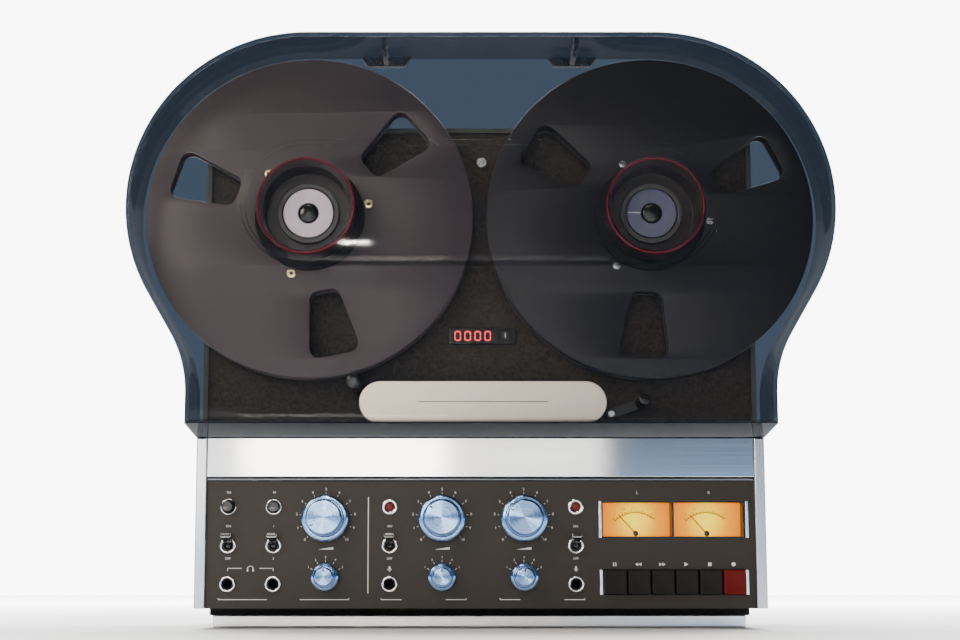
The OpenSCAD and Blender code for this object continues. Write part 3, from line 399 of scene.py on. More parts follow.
# %% Front trims
case_x, rail_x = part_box("cabinet")[1].x / MM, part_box("control_panel")[1].x / MM
case_z, ledge_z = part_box("cabinet")[0].z / MM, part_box("front_trims")[1].z / MM
panel_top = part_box("control_panel")[1].z / MM
along_x, along_z = [0, 2], [2, 0]
trim_back, trim_front, gap = 19, 25, 0.1
rails = [bar(lo, hi, case_z, ledge_z, trim_back, trim_front, 0.5, 0.9) for lo, hi in
         ((-case_x, -rail_x - gap), (rail_x + gap, case_x))]
band = bar(-rail_x + gap, rail_x - gap, panel_top + 2.9, ledge_z, trim_back, trim_front, 0.4, 0.5)
bead = bar(-rail_x + gap, rail_x - gap, panel_top + gap, panel_top + 2.2, trim_back, trim_front - 1, 0.9, 0.9)
feet = [bar(-221, 221, 0, 10, back, back + 16, 1.2, 1.0) for back in (-46, -156)]
make("trim_rails", rails, "rail", "machine", ["front_trims"], 8, along_z)
make("trim_band", [band], "brushed", "machine", (), 8, along_x)
make("trim_bead", [bead], "bead", "machine", brush=along_x)
make("foot_bars", feet, "foot", "machine", ["foot_rails"], 8, along_x)
print("panel runs from z", round(case_z, 1), "to", round(panel_top, 1))

# %% [markdown]
# ## Reels
# A flange is a thin lacquered disc with a wide bore and three windows. A grid has no holes, so
# here a flat curve with several loops is the better way: Blender fills it, rounds its edges and
# hands back a mesh, which is then stood upright at the hub.

# %% Flange outlines
hub_x, hub_z = 138.5, 333.0
flange_r, core_r, bore_r, screw_r = 133, 57, 38.1, 49
hubs = {"left": -hub_x, "right": hub_x}
thirds = (0, 120, 240)


def circle(r, steps=160, x=0.0, z=0.0):
    """Loop of points at radius r."""
    t = np.linspace(0, 2 * np.pi, steps, endpoint=False)
    return np.stack([x + r * np.cos(t), z + r * np.sin(t)], -1)


def turned(flat, degrees, x=0, z=0):
    """Points turned anticlockwise about the origin and then moved to x and z."""
    c, s = np.cos(np.radians(degrees)), np.sin(np.radians(degrees))
    return flat @ np.array([[c, s], [-s, c]]) + [x, z]


def window(degrees, steps=8):
    """Rounded window of a flange: four corner circles joined by straight sides, whose inner
    and outer ends bow with the flange's rim."""
    corners = np.array([[70, -5], [108, -12], [108, 12], [70, 5]], float)
    starts, sweeps = np.radians([180, 260, 0, 100]), np.radians([80, 100, 100, 80])
    a = starts[:, None, None] + sweeps[:, None, None] * np.linspace(0, 1, steps)[None, :, None]
    loop = corners[:, None] + 8 * np.concatenate([np.cos(a), np.sin(a)], -1)
    return turned(loop.reshape(-1, 2), degrees)


def curve_mesh(curve):
    """Mesh of a curve or a text as Blender fills it."""
    holder = add_object(curve.name, curve)
    mesh = bpy.data.meshes.new_from_object(holder.evaluated_get(bpy.context.evaluated_depsgraph_get()))
    bpy.data.objects.remove(holder)
    return mesh


def filled(name, loops, half, edge, f):
    """Mesh of a flat curve of several loops, given thickness and a rounded edge, and stood up
    so that its middle lies at f. The outline keeps its size because the edge is cut inwards."""
    curve = bpy.data.curves.new(name, "CURVE")
    curve.dimensions, curve.fill_mode = "2D", "BOTH"
    curve.extrude, curve.bevel_depth, curve.offset = (half - edge) * MM, edge * MM, -edge * MM
    curve.bevel_resolution = 2
    for loop in loops:
        spline = curve.splines.new("POLY")
        spline.points.add(len(loop) - 1)
        spline.points.foreach_set("co", np.c_[loop * MM, np.zeros(len(loop)), np.ones(len(loop))].reshape(-1))
        spline.use_cyclic_u = True
    mesh = curve_mesh(curve)
    x, y, z = points_of(mesh).T
    mesh.vertices.foreach_set("co", np.stack([x, depth(f) - z, y], -1).reshape(-1))
    mesh.name = name
    close_mesh(mesh, 30)
    return mesh


print("window loop has", len(window(0)), "points")

# %% [markdown]
# The lacquer is dark and glossy over turned metal. Its base is a plum brown on one reel and
# nearly black on the other, with a thin satin coat. A mirror coat would show every lamp, so
# the coat is rough, and fine grain varies the tone under it.

# %% Reel lacquer
coat("left_lacquer", "plum_lacquer", (0.033, 0.024, 0.027), (0.045, 0.034, 0.038), 900, (0.36, 0.44), 1.5e-6,
     Coat_Weight=0.25, Coat_Roughness=0.4, Metallic=0.35)
coat("right_lacquer", "black_lacquer", (0.008, 0.0078, 0.0098), (0.013, 0.0125, 0.015), 900, (0.36, 0.44), 1.5e-6,
     Coat_Weight=0.25, Coat_Roughness=0.4, Metallic=0.3, Specular_IOR_Level=0.3)
first_window = {"left": 41, "right": 27}
for side, x in hubs.items():
    body, slot = side + "_reel", side + "_reel_lacquer"
    loops = [circle(flange_r), circle(bore_r)] + [window(first_window[side] + third) for third in thirds]
    loops = [loop + [x, hub_z] for loop in loops]
    for part, f, stands_for in (("_front_flange", 19.75, [body]), ("_rear_flange", 8.75, ())):
        flange = filled(side + part, loops, 0.75, 0.35, f)
        place(side + part, flange, side + "_lacquer", body, stands_for)
    core = [(bore_r, 9.5), (core_r, 9.5), (core_r, 19), (bore_r, 19), (bore_r, 9.5)]
    make(side + "_winding_core", [lathe(core, x, hub_z, edge=0.6)], "dark", body)
    print(side, "reel flanges:", len(flange.polygons), "faces each")

# %% [markdown]
# The left reel is riveted with brass eyelets and the right one has slotted screws. Both are
# small turned shapes; the slot is a dark bar let into the head.

# %% Eyelets and screws
def around(x, z, r, degrees):
    """Point r away from x and z, at an angle from the right that grows anticlockwise."""
    a = np.radians(degrees)
    return np.stack([np.cos(a), np.sin(a)], -1) * r + [x, z]


eyelet = [(1.3, 20.5), (3.9, 20.5), (3.5, 21.4), (1.8, 21.6), (1.3, 21.2), (1.3, 20.5)]
eyelets = [lathe(eyelet, *around(hubs["left"], hub_z, screw_r, third + 13), 32, 0.25) for third in thirds]
spots = [around(hubs["right"], hub_z, screw_r, third - 4) for third in thirds]
screws = [lathe([(0, 20.5), (3.0, 20.5), (2.8, 21.4), (0, 21.7)], *spot, 32, 0.35) for spot in spots]
slots = [block(*spot, 5, 0.7, 21.3, 21.75, 0.2, 0.1) for spot in spots]
make("reel_eyelets", eyelets, "brass", "left_reel")
make("reel_screws", screws, "steel", "right_reel")
make("reel_screw_slots", slots, "black", "right_reel")
print(len(eyelets), "eyelets,", len(screws), "screws")

# %% [markdown]
# ## Adapters and spindle ends
# A deep dark cup with a red rim locks each reel to its spindle. Inside it sits a pale disc
# with a domed black button and a fine slit. All of it was turned, so each piece is one profile
# carried round the hub.

# %% Adapters
coat("left_pale", "pale_lilac", (0.66, 0.57, 0.66), (0.78, 0.69, 0.78), 500, (0.35, 0.48), 6e-6, Coat_Weight=0.3)
# The right disc's darker, bluer tone is painted shade: it stands for the cup keeping the light from the left off it.
coat("right_pale", "lilac_painted_shade", (0.085, 0.085, 0.14), (0.12, 0.12, 0.19), 500, (0.35, 0.48), 6e-6, Coat_Weight=0.3)
quarter = np.linspace(0, np.pi / 2, 12)
dome = np.concatenate([[[0, 28.1], [8.4, 28.1]], np.stack([8.4 * np.cos(quarter), 30.4 + 3.1 * np.sin(quarter)], -1)])
adapter = (  # name, finish, slot, solid it stands for, rounding and profile
    ("cup", "cup", "adapter_black", "_adapter_cup", 0.5, [
        (13.2, 8), (38, 8), (38, 20.5), (36.9, 20.5), (36.9, 52.4), (34.4, 46), (34, 27), (25.2, 27), (13.2, 27),
        (13.2, 8)]),
    ("lock_ring", "grey", "adapter_black", "", 0.3, [
        (21, 26.9), (25, 26.9), (25, 30.4), (24.4, 31), (21.4, 31), (21, 30.6), (21, 26.9)]),
    ("red_rim", "anodised", "adapter_red", "_adapter_ring", 0.5, [
        (37.0, 49), (39.4, 49), (39.4, 52.2), (38.7, 53), (37.7, 53), (37.0, 52.3), (37.0, 49)]),
    # The base ring's black matte finish is partly painted shadow: it also stands for the shade the cup casts below
    # it.
    ("base_ring", "plinth", "adapter_black", "", 0.6, [
        (37.1, 20.5), (45, 20.5), (44.4, 23), (37.1, 23), (37.1, 20.5)]),
    ("pale_disc", "pale", "spindle_pale", "_spindle_disc", 0.5, [
        (0, 28), (20, 28), (20, 30.9), (8.6, 31), (8.6, 30), (0, 30)]),
    ("dome", "black", "adapter_black", "", 0.0, dome))
for side, x in hubs.items():
    for name, tone, slot, solid, edge, profile in adapter:
        tone = side + "_pale" if tone == "pale" else tone
        make(side + "_" + name, [lathe(profile, x, hub_z, edge=edge)], tone, side + "_reel",
             [side + solid] if solid else ())
    slit = turned(round_rect(10.5, 0.7, 0.3, 14.3), 62 if side == "left" else 178, x, hub_z)
    make(side + "_slit", [plate(slit, soft_edge(30.6, 31.15, 0.1))], "white", side + "_reel")
print("adapters have", len(adapter), "turned pieces each")

# %% [markdown]
# ## Head cover plate, guides and counter
# A brushed plate with round ends closes the head cover. Its long edge is a quarter circle, so
# it takes a bright line. The guide and the tension arm beside it end in turned black caps, and
# the counter is a black window with glowing digits.

# %% Head plate and posts
head_x, head_z = 2.0, 179.0
t = np.linspace(-np.pi / 2, np.pi / 2, 25)
end = np.stack([81.5 + 17 * np.cos(t), 17 * np.sin(t)], -1)
stadium = np.concatenate([end, -end, end[:1]]) + [head_x, head_z]
make("head_plate_face", [plate(stadium, soft_edge(28, 30.5, 0.8))], "nameplate", "machine",
     ["head_plate"], brush=along_x)
line = block(head_x, head_z + 0.4, 104, 0.6, 30.4, 30.54, 0.2, 0.02)
make("head_plate_line", [line], "dark", "machine")
guide = lathe([(0, 28.5), (6.05, 28.5), (6.05, 30.8), (3.2, 31.5), (0, 31.6)], -101, 196, 48, 0.6)
make("guide_cap", [guide], "black", "machine")
roller = lathe([(0, 26), (4.5, 26), (4.2, 27.4), (0, 27.8)], *around(107, 173, 25.6, 20), 40, 0.5)
make("arm_cap", [roller], "black", "tension_arm")
deck_screw = lathe([(0, 0), (4, 0), (3.8, 1.8), (0, 2.4)], 2, 385, 40, 0.4)
make("deck_screw_head", [deck_screw], "steel", "machine")
print("stadium plate", len(stadium), "points round")

# %% [markdown]
# Digits like these are made of seven glowing bars. Text in a font would look printed, so each
# zero is drawn as six short bars with gaps, all from one list of places.

# %% Counter
def cloud(tone, name, colour, low, high, scale, **sockets):
    """Finish of one colour that noise in object coordinates makes a little darker or lighter."""
    paint[tone], tree, shader = finish(name, **sockets)
    where, noise, blend = add_nodes(tree, "TexCoord", "TexNoise", "ValToRGB")
    put(noise, Scale=scale)
    set_ramp(blend, (0, np.multiply(low, colour)), (1, np.multiply(high, colour)))
    join(tree, (where, "Object", noise, "Vector"), (noise, "Fac", blend, "Fac"),
         (blend, "Color", shader, "Base Color"))
    return tree, shader, where, blend


tree, shader, where, blend = cloud("digit", "digit_red", (1.0, 0.02, 0.04), 0.75, 1.0, 600, Roughness=0.3,
                                   Emission_Strength=3.2)
join(tree, (blend, "Color", shader, "Emission Color"))
counter_x, counter_z, reset_x = 2.5, 238, 21
display = block(counter_x, counter_z, 55, 13, 0, 3.2, 0.8, 0.4)
make("counter_window", [display], "black", "machine", ["counter_display"])
zero = [(0, 3.6, 3.2, 1), (0, -3.6, 3.2, 1), (-2.2, 1.85, 1, 2.9), (2.2, 1.85, 1, 2.9), (-2.2, -1.85, 1, 2.9),
        (2.2, -1.85, 1, 2.9)]
bars = [block(counter_x - 20.4 + 8.2 * k + dx, counter_z + dz, w, h, 3.1, 3.35, 0.3, 0.05)
        for k in range(4) for dx, dz, w, h in zero]
make("counter_digits", bars, "digit", "machine")
reset = block(reset_x, counter_z, 6, 6, 2.5, 5.8, 0.8, 0.7)
mark = block(reset_x, counter_z, 0.7, 4, 5.7, 5.95, 0.2, 0.05)
make("reset_key", [reset], "dark", "counter_reset", ["counter_reset"])
make("reset_mark", [mark], "white", "counter_reset")
print(len(bars), "glowing bars")

# %% [markdown]
# ## Round controls on the panel
# Bright nuts, lamps, sockets and push buttons are small turned parts. Each kind is one profile,
# turned at several places. Columns sit at the places of the solids they dress.

# %% Places of the columns
def middle(node):
    """Centre of a solid's box in x and z, in millimetres."""
    lo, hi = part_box(node)
    return (lo.x + hi.x) / 2 / MM, (lo.z + hi.z) / 2 / MM


power_x, lamp_z = middle("speed_button_slow")
monitor_x = middle("speed_button_fast")[0]
rec_left, rec_right = middle("record_toggle_left")[0], middle("record_toggle_right")[0]
volume_x, knob_z = middle("volume_ring")
level_left, level_right = middle("level_knob_left")[0], middle("level_knob_right")[0]
selector_z = middle("monitor_selector")[1]
toggle_z, jack_z = case_z + 49.6, case_z + 19.2
bank_x, meter_half, key_z, key_pitch = 153, 28.5, 36.7, 18.8
meter_xs = (bank_x - meter_half, bank_x + meter_half)
columns = [power_x, monitor_x, rec_left, rec_right]
knob_xs = [volume_x, level_left, level_right]
panel_f = 22
print("columns at", [round(c, 1) for c in columns])

# %% Rings, lamps, sockets and buttons
def nut(hole, x, z, rim=6.5):
    """Ring with a half round front from its hole to its rim."""
    a = np.linspace(0, np.pi, 9)
    r, mid = (rim - hole) / 2, (rim + hole) / 2
    front = np.stack([mid + r * np.cos(a), panel_f + 0.7 + 1.3 * np.sin(a)], -1)
    return lathe(np.concatenate([[[hole, panel_f], [rim, panel_f]], front, [[hole, panel_f]]]), x, z, 56)


rings = [nut(hole, x, lamp_z) for hole, x in zip((4.9, 4.9, 3.6, 3.6), columns)]
rings += [nut(4.4, x, z) for x in columns for z in (toggle_z, jack_z)]
ends = [block(bank_x + out, z, 2.4, h, panel_f, 23.1, 0.3, 0.4) for out, z, h in
        ((-58.2, 86.4, 29.4), (58.2, 86.4, 29.4), (-57.6, key_z, 19.8), (57.6, key_z, 19.8))]
make("panel_nuts", rings, "chrome", "machine", ["panel_rings"])
make("bank_ends", ends, "chrome", "machine")
barrel = [(3.25, 2), (5.8, 0), (5.8, 22), (4.35, 22.3), (3.3, 22.1), (3.25, 2)]
bottom = [(0, 2.0), (3.25, 2.0), (3.25, 2.4), (0, 2.5)]
sockets = [lathe(part, x, jack_z, 48, edge) for x in columns for part, edge in ((barrel, 0.25), (bottom, 0.1))]
make("jack_barrels", sockets, "plinth", "machine", ["jack_sockets"])
coat("lamp", "lamp_red", (0.085, 0.006, 0.006), (0.13, 0.012, 0.010), 300, (0.3, 0.42), Specular_IOR_Level=0.2,
     Emission_Color=(0.35, 0.02, 0.015, 1), Emission_Strength=0.03)
lens = [(0, 13), (3.4, 13), (3.4, 23), (2.4, 23.8), (0, 24.1)]
make("lamp_lenses", [lathe(lens, x, lamp_z, 40, 0.5) for x in (rec_left, rec_right)], "lamp", "machine",
     ["record_lamps"])
coat("button", "button_grey", (0.010, 0.009, 0.008), (0.020, 0.018, 0.016), 500, (0.28, 0.40), Coat_Weight=0.2)
for name, x, out in (("slow", power_x, 29), ("fast", monitor_x, 25)):
    button = [(0, out - 17), (4.5, out - 17), (4.5, out - 0.9), (3.7, out), (0, out - 0.25)]
    make("speed_cap_" + name, [lathe(button, x, lamp_z, 48, 0.4)], "button", "speed_button_" + name,
         ["speed_button_" + name])
print(len(rings), "rings,", len(sockets) // 2, "sockets")

# %% [markdown]
# ## Toggles
# Each lever is a flat black paddle on a ball, leaning up, with a white stripe across its end.
# It is built straight out from the panel and then turned about its own pivot, because a
# leaning outline would be harder to write down.

# %% Toggle levers
pivot_f, lean_angle = 20, 28


def lean(grid):
    """Turns points about the line along X through the levers' pivots."""
    a, pivot_z = np.radians(lean_angle), toggle_z * MM
    dy, dz = grid[..., 1] - depth(pivot_f), grid[..., 2] - pivot_z
    return np.stack([grid[..., 0], depth(pivot_f) + dy * np.cos(a) + dz * np.sin(a),
                     pivot_z - dy * np.sin(a) + dz * np.cos(a)], -1)


s = np.linspace(-np.pi / 2, 1.05, 14)
ball = np.stack([3.0 * np.cos(s), pivot_f + 3.0 * np.sin(s)], -1)
neck = np.concatenate([ball, [[1.5, 23.2], [1.5, 26.5], [0, 26.5]]])
toggles = ("power_toggle", "monitor_toggle", "record_toggle_left", "record_toggle_right")
for name, x in zip(toggles, columns):
    paddle = plate(round_rect(7.4, 3.1, 0.9, x, toggle_z), soft_edge(26, 38, 0.6))
    wide = np.interp(paddle[..., 1], [depth(38), depth(26)], [1.0, 0.72])
    paddle[..., 0] = x * MM + (paddle[..., 0] - x * MM) * wide
    stripe = plate(round_rect(7.6, 3.3, 0.9, x, toggle_z), [(0, 35.6), (0, 37.0)])
    make(name + "_lever", [lean(lathe(neck, x, toggle_z, 32)), lean(paddle)], "black", name, [name])
    make(name + "_stripe", [lean(stripe)], "white", name)
print("levers lean", lean_angle, "degrees up")

# %% [markdown]
# ## Knobs
# The knobs are turned from solid aluminium: a skirt with a bevelled edge, a groove and a cap
# with a flat face. The face's highlight is a bow tie because its scratches are rings. A pointer
# is a small dark mark on skirt and cap.

# %% Knob profiles
def skirt(r, cap, back, h):
    """Skirt from its back face over a bevelled rim to the groove at the cap."""
    return [(0, back), (r - 0.8, back), (r, back + 0.8), (r, back + h - 1.4), (r - 1.3, back + h - 0.2),
            (cap + 1.2, back + h), (cap + 0.8, back + h - 0.9), (0, back + h - 0.9)]


def head(r, back, front):
    """Cap with a narrow bevel and a flat face."""
    return [(0, back), (r, back), (r, front - 1.0), (r - 0.9, front), (0, front)]


def pointer(x, z, turn, r, length, f):
    """Short dark bar along a radius, at an angle from the top, positive to the right."""
    return plate(turned(round_rect(length, 1.1, 0.3, r), 90 - turn, x, z), soft_edge(f - 0.4, f + 0.06, 0.03))


def knob(node, x, z, r, cap, h_skirt, h_cap, turn, has_skirt=True, has_cap=True):
    """One knob from its two turned profiles and its pointer marks. A cap alone stands a little
    further out, clear of the ring that it turns in."""
    back = panel_f + 1
    groove = back + h_skirt + (0 if has_skirt else 0.75)
    grids, marks = [], []
    if has_skirt:
        grids.append(lathe(skirt(r, cap, back, h_skirt), x, z, 128, 0.35))
    if has_cap:
        grids.append(lathe(head(cap, groove - 0.7, groove + h_cap), x, z, 128, 0.3))
        marks.append(pointer(x, z, turn, cap - 2.6, 2.6, groove + h_cap))
    if has_skirt:
        marks.append(pointer(x, z, turn, (r + cap) / 2 - 0.2, 1.6, groove - 0.25))
    make(node + "_turned", grids, "knob", node, [node], 25)
    make(node + "_mark", marks, "black", node)


large, small = (18.3, 13.8, 10), (10.8, 7.5, 7.5)  # radii of skirt and cap, height of the skirt
knob("volume_ring", volume_x, knob_z, *large, 11, -124, has_cap=False)
knob("volume_knob", volume_x, knob_z, *large, 10.6, -124, has_skirt=False)
knob("level_knob_left", level_left, knob_z, *large, 11, -46)
knob("level_knob_right", level_right, knob_z, *large, 11, -60)
for name, x in zip(("monitor_selector", "input_selector_left", "input_selector_right"), knob_xs):
    knob(name, x, selector_z, *small, 8, 0)
print("seven knobs")

# %% [markdown]
# ## Transport keys
# Six square keys stand side by side. Their faces are slightly hollow, so a finger finds them:
# the height falls towards the middle as a product of two parabolas. The last one is red.

# %% Keys
coat("key_grey", "key_grey", (0.006, 0.0054, 0.0048), (0.010, 0.009, 0.008), 700, (0.34, 0.46), 6e-6,
     Specular_IOR_Level=0.12)
coat("key_red", "key_red", (0.075, 0.0014, 0.0006), (0.11, 0.003, 0.001), 700, (0.34, 0.46), 6e-6,
     Specular_IOR_Level=0.12)


def dished_key(x, z, w, h, back, front):
    """Rounded block whose face is a grid of shrinking rings. With u and v from -1 to 1 across the
    key, the face lies at f = front - 0.45 (1 - u u) (1 - v v)."""
    body = plate(round_rect(w, h, 1.6, x, z), soft_edge(back, front, 0.9, 5))[:-2]
    k = np.linspace(1, 0, 12)[1:, None]
    dx, dz = (body[-1, :, 0] / MM - x) * k, (body[-1, :, 2] / MM - z) * k
    hollow = 0.45 * (1 - (2 * dx / w) ** 2) * (1 - (2 * dz / h) ** 2)
    sunk = np.maximum(hollow - hollow[:1].mean() * k, 0)
    return np.concatenate([body, stand(np.stack([x + dx, z + dz], -1), front - sunk)])


key_xs = bank_x + (np.arange(6) - 2.5) * key_pitch
for name, x in zip(("pause", "rewind", "forward", "play", "stop", "record"), key_xs):
    tone = "key_red" if name == "record" else "key_grey"
    cap = dished_key(x, key_z, 17.6, 19.4, 20, 27)
    make(name + "_key_cap", [cap], tone, name + "_key", [name + "_key"], 40)
print("key pitch", key_pitch, "mm")

# %% [markdown]
# ## Meters
# Two lit faces sit behind a clear window. The lamp is behind the lower middle of each face, so
# the glow is yellow there and turns orange towards the corners. The scale is printed in brown:
# an arc, strokes across it and a few plain numbers.

# %% Lit faces
# The glow falls with the distance from a point low in the middle of the face's own map.
paint["face"], tree, shader = finish("meter_glow", Roughness=0.5, Specular_IOR_Level=0.03, Emission_Strength=2.3,
                                     Base_Color=(0.10, 0.03, 0.002, 1))
where, turn, length, blend = add_nodes(tree, "TexCoord", "Mapping", "VectorMath", "ValToRGB")
put(turn, Location=(-0.5, -0.22, 0), Scale=(1.0, 0.44, 1))
length.operation = "LENGTH"
set_ramp(blend, (0.02, (1.0, 0.84, 0.0)), (0.56, (0.56, 0.12, 0.0)), (0.14, (1.0, 0.56, 0.0)),
         (0.32, (0.74, 0.26, 0.0)))
join(tree, (where, "UV", turn, "Vector"), (turn, "Vector", length, 0), (length, "Value", blend, "Fac"),
     (blend, "Color", shader, "Emission Color"))
for k, x in enumerate(meter_xs):
    sheet = np.stack(np.meshgrid(np.linspace(x - 27.4, x + 27.4, 9), np.linspace(72.2, 100.6, 5)), -1)
    make("meter_face_%d" % k, [stand(sheet, 10.05)], "face", "machine", ["meter_dials"])
low, high, half = 71.9, 100.9, 57
frames = [bar(bank_x + x0, bank_x + x1, z0, z1, 9, front, 0.2, 0.2) for x0, x1, z0, z1, front in
          ((-half, half, high - 1, high, 19.8), (-half, half, low, low + 1, 19.8),
           (-half, 1.4 - half, low, high, 19.8), (half - 1.4, half, low, high, 19.8), (-0.9, 0.9, low, high, 19.9))]
make("meter_frames", frames, "black", "machine")
print("two lit faces")

# %% [markdown]
# ## Printed marks
# White ink on the panel and brown ink on the meters are flat shapes a hair above the surface.
# Lines are ribbons: a path moved half a width to either side. Numbers are text made into a mesh
# and stood up. Names are left off; only plain numbers, strokes and signs are printed.

# %% Ribbons, discs and numbers
class Ink:
    """Collects flat shapes at one depth and makes them a single piece."""

    def __init__(self, f):
        self.f, self.points, self.faces = f, [], []

    def add(self, flat, faces):
        """Takes points in x and z and faces that run anticlockwise, so that they look forwards."""
        start = sum(len(p) for p in self.points)
        self.points.append(np.asarray(flat, float))
        self.faces += [tuple(start + i for i in face) for face in faces]

    def ribbon(self, path, width):
        """Path moved half a width to the right and to the left of its own direction."""
        path = np.asarray(path, float)
        along = np.gradient(path, axis=0)
        along /= np.linalg.norm(along, axis=1, keepdims=True)
        left = np.stack([-along[:, 1], along[:, 0]], -1) * width / 2
        n = len(path)
        self.add(np.concatenate([path - left, path + left]), [(i, i + 1, n + i + 1, n + i) for i in range(n - 1)])

    def shape(self, loop):
        """Filled anticlockwise loop."""
        self.add(loop, [tuple(range(len(loop)))])

    def pad(self, *sizes):
        """Filled rectangle with round corners."""
        self.shape(round_rect(*sizes)[:-1])

    def arc(self, x, z, r, a0, a1, width, steps=24):
        """Ribbon along a circle between two angles from the top, positive to the right."""
        self.ribbon(around(x, z, r, 90 - np.linspace(a0, a1, steps)), width)

    def stroke(self, x, z, turn, r0, r1, width):
        """Short ribbon along a radius."""
        self.ribbon([around(x, z, r, 90 - turn) for r in (r0, r1)], width)

    def number(self, words, x, z, size):
        """Text as a mesh, centred on x and z."""
        curve = bpy.data.curves.new("number", "FONT")
        curve.body, curve.size = words, size
        curve.align_x, curve.align_y = "CENTER", "CENTER"
        mesh = curve_mesh(curve)
        self.add(points_of(mesh)[:, :2] + [x, z], [tuple(p.vertices) for p in mesh.polygons])

    def dial(self, x, z, turns, strokes, r, size, first=0):
        """Strokes at these angles from the top, with numbers that count up at radius r."""
        for k, turn in enumerate(turns):
            self.stroke(x, z, turn, *strokes)
            self.number(str(k + first), *around(x, z, r, 90 - turn), size)

    def bracket(self, left, right, gap, z, rise, width):
        """Level line with upright ends and a gap on either side of its middle."""
        mid, step = (left + right) / 2, 0.01
        self.ribbon([[left, z + rise], [left, z], [left + step, z], [mid - gap, z]], width)
        self.ribbon([[mid + gap, z], [right - step, z], [right, z], [right, z + rise]], width)

    def wedge(self, tip, base, z, half):
        """Triangle that points to the left or to the right."""
        rise = half if tip > base else -half
        self.shape([[tip, z], [base, z + rise], [base, z - rise]])

    def piece(self, name, tone, body, slot):
        """Stands the shapes up at their depth."""
        mesh = bpy.data.meshes.new(name)
        mesh.from_pydata(stand(np.concatenate(self.points), self.f), [], self.faces)
        place(name, mesh, tone, body)


print("ink ready")

# %% Panel print
ink = Ink(panel_f + 0.05)
for x in knob_xs:
    ink.dial(x, knob_z, range(-135, 136, 27), (19.8, 21.0, 0.35), 23.4, 2.9)
for x in knob_xs:
    ink.dial(x, selector_z, range(-60, 61, 30), (11.8, 13.6, 0.4), 15.6, 2.5, 1)
for x, up, down in ((power_x, "ON", "OFF"), (rec_left, "ON", "OFF"), (rec_right, "ON", "OFF"), (monitor_x, "1", "2")):
    ink.number(up, x, toggle_z + 15.2, 2.5)
    ink.number(down, x, toggle_z - 10.4, 2.5)
ink.number("9.5", power_x, lamp_z + 11.4, 2.7)
ink.number("19", monitor_x, lamp_z + 11.4, 2.7)
for word, x in zip("LR", meter_xs):
    ink.number(word, x, 107.5, 3.2)
print(len(ink.faces), "printed faces")

# %% [markdown]
# Signs take the place of words: a headphone, a microphone, a wedge that grows with loudness and
# the usual six signs of a tape transport. Lines under the groups keep the panel's order.

# %% Signs and lines
ink.bracket(power_x, monitor_x, 7, jack_z + 12.4, -2.2, 0.5)
phones_x = (power_x + monitor_x) / 2
ink.arc(phones_x, jack_z + 11.9, 2.3, -95, 95, 0.5)
for s in (-2.2, 2.2):
    ink.pad(1.1, 2.3, 0.4, phones_x + s, jack_z + 11.0)
for x in (rec_left, rec_right):
    ink.pad(1.5, 3.0, 0.7, x, jack_z + 12.6)
    ink.arc(x, jack_z + 12.2, 1.6, 95, 265, 0.35)
    ink.ribbon([[x, jack_z + 10.7], [x, jack_z + 9.6]], 0.4)
for x in knob_xs:
    ink.shape([[x - 6, knob_z - 24.4], [x + 6, knob_z - 24.4], [x + 6, knob_z - 22.4]])
fence_x = (volume_x + rec_left) / 2 + 8.3
ink.ribbon([[fence_x, case_z + 12], [fence_x, case_z + 88]], 0.7)
for left, right, gap in ((power_x - 7, volume_x + 18.5, 13), (rec_left - 6.5, level_left + 19, 17.5),
                         (level_right - 19, rec_right + 6.5, 17.5)):
    ink.bracket(left, right, gap, case_z + 7.0, 1.1, 0.55)
sign_z = 50.8
pause_x, rewind_x, forward_x, play_x, stop_x, record_x = key_xs
for s in (-0.9, 0.9):
    ink.pad(0.9, 3.0, 0.2, pause_x + s, sign_z)
for s in (-1.4, 1.2):
    ink.wedge(rewind_x + s - 1.2, rewind_x + s + 1.2, sign_z, 1.4)
    ink.wedge(forward_x + s + 1.4, forward_x + s - 1.0, sign_z, 1.4)
ink.wedge(play_x + 1.8, play_x - 1.3, sign_z, 1.7)
ink.pad(2.8, 2.8, 0.2, stop_x, sign_z)
ink.shape(circle(1.6, 32, record_x, sign_z))
ink.piece("panel_print", "white", "machine", "panel_paint")
print("panel print:", len(ink.faces), "faces")

# %% Meter scales and needles
coat("brown", "scale_brown", (0.018, 0.006, 0.002), (0.03, 0.010, 0.003), 900, (0.5, 0.6), 1e-6,
     Specular_IOR_Level=0.03)
scale = Ink(10.12)
needle_z = 75.4
scale_z = needle_z - 6
hub = [(0, 10.5), (2, 10.5), (2, 12.6), (1.4, 13), (0, 13)]
for x in meter_xs:
    scale.arc(x, scale_z, 23.0, -46, 40, 0.6, 48)
    for k, turn in enumerate(np.linspace(-44, 38, 14)):
        scale.stroke(x, scale_z, turn, 23.0, 24.8 + 1.2 * (k % 3 == 0), 0.6)
    for words, turn in (("20", -38), ("10", -20), ("5", -2), ("3", 10), ("0", 22), ("3", 36)):
        scale.number(words, *around(x, scale_z, (27.0, 27.4), 90 - turn), 2.3)
    scale.shape(circle(1.9, 32, x, needle_z + 0.6))
scale.piece("meter_scales", "brown", "machine", "meter_glow")
for name, x in zip(("needle_left", "needle_right"), meter_xs):
    arm = plate(turned(round_rect(20.5, 0.7, 0.3, 10.25), 90 + 42, x, needle_z), soft_edge(11.5, 12.1, 0.1))
    make(name + "_arm", [arm, lathe(hub, x, needle_z, 32, 0.3)], "black", name, [name])
print("scales:", len(scale.faces), "faces")

# %% [markdown]
# ## Clear window and smoked cover
# Both are acrylic. Real glass shaders bend light and make the scene noisy, and a thin sheet
# hardly bends anything, so the sheets are made see-through by alpha with a strong gloss. The
# cover's tint is denser along its margin, where one looks through more of it.

# %% Acrylic finishes
def acrylic(tone, name, colour, alpha, gloss):
    """Glossy see-through sheet of one alpha."""
    return cloud(tone, name, colour, 0.85, 1.15, 25, Roughness=0.03, IOR=1.49, Specular_IOR_Level=gloss, Alpha=alpha)


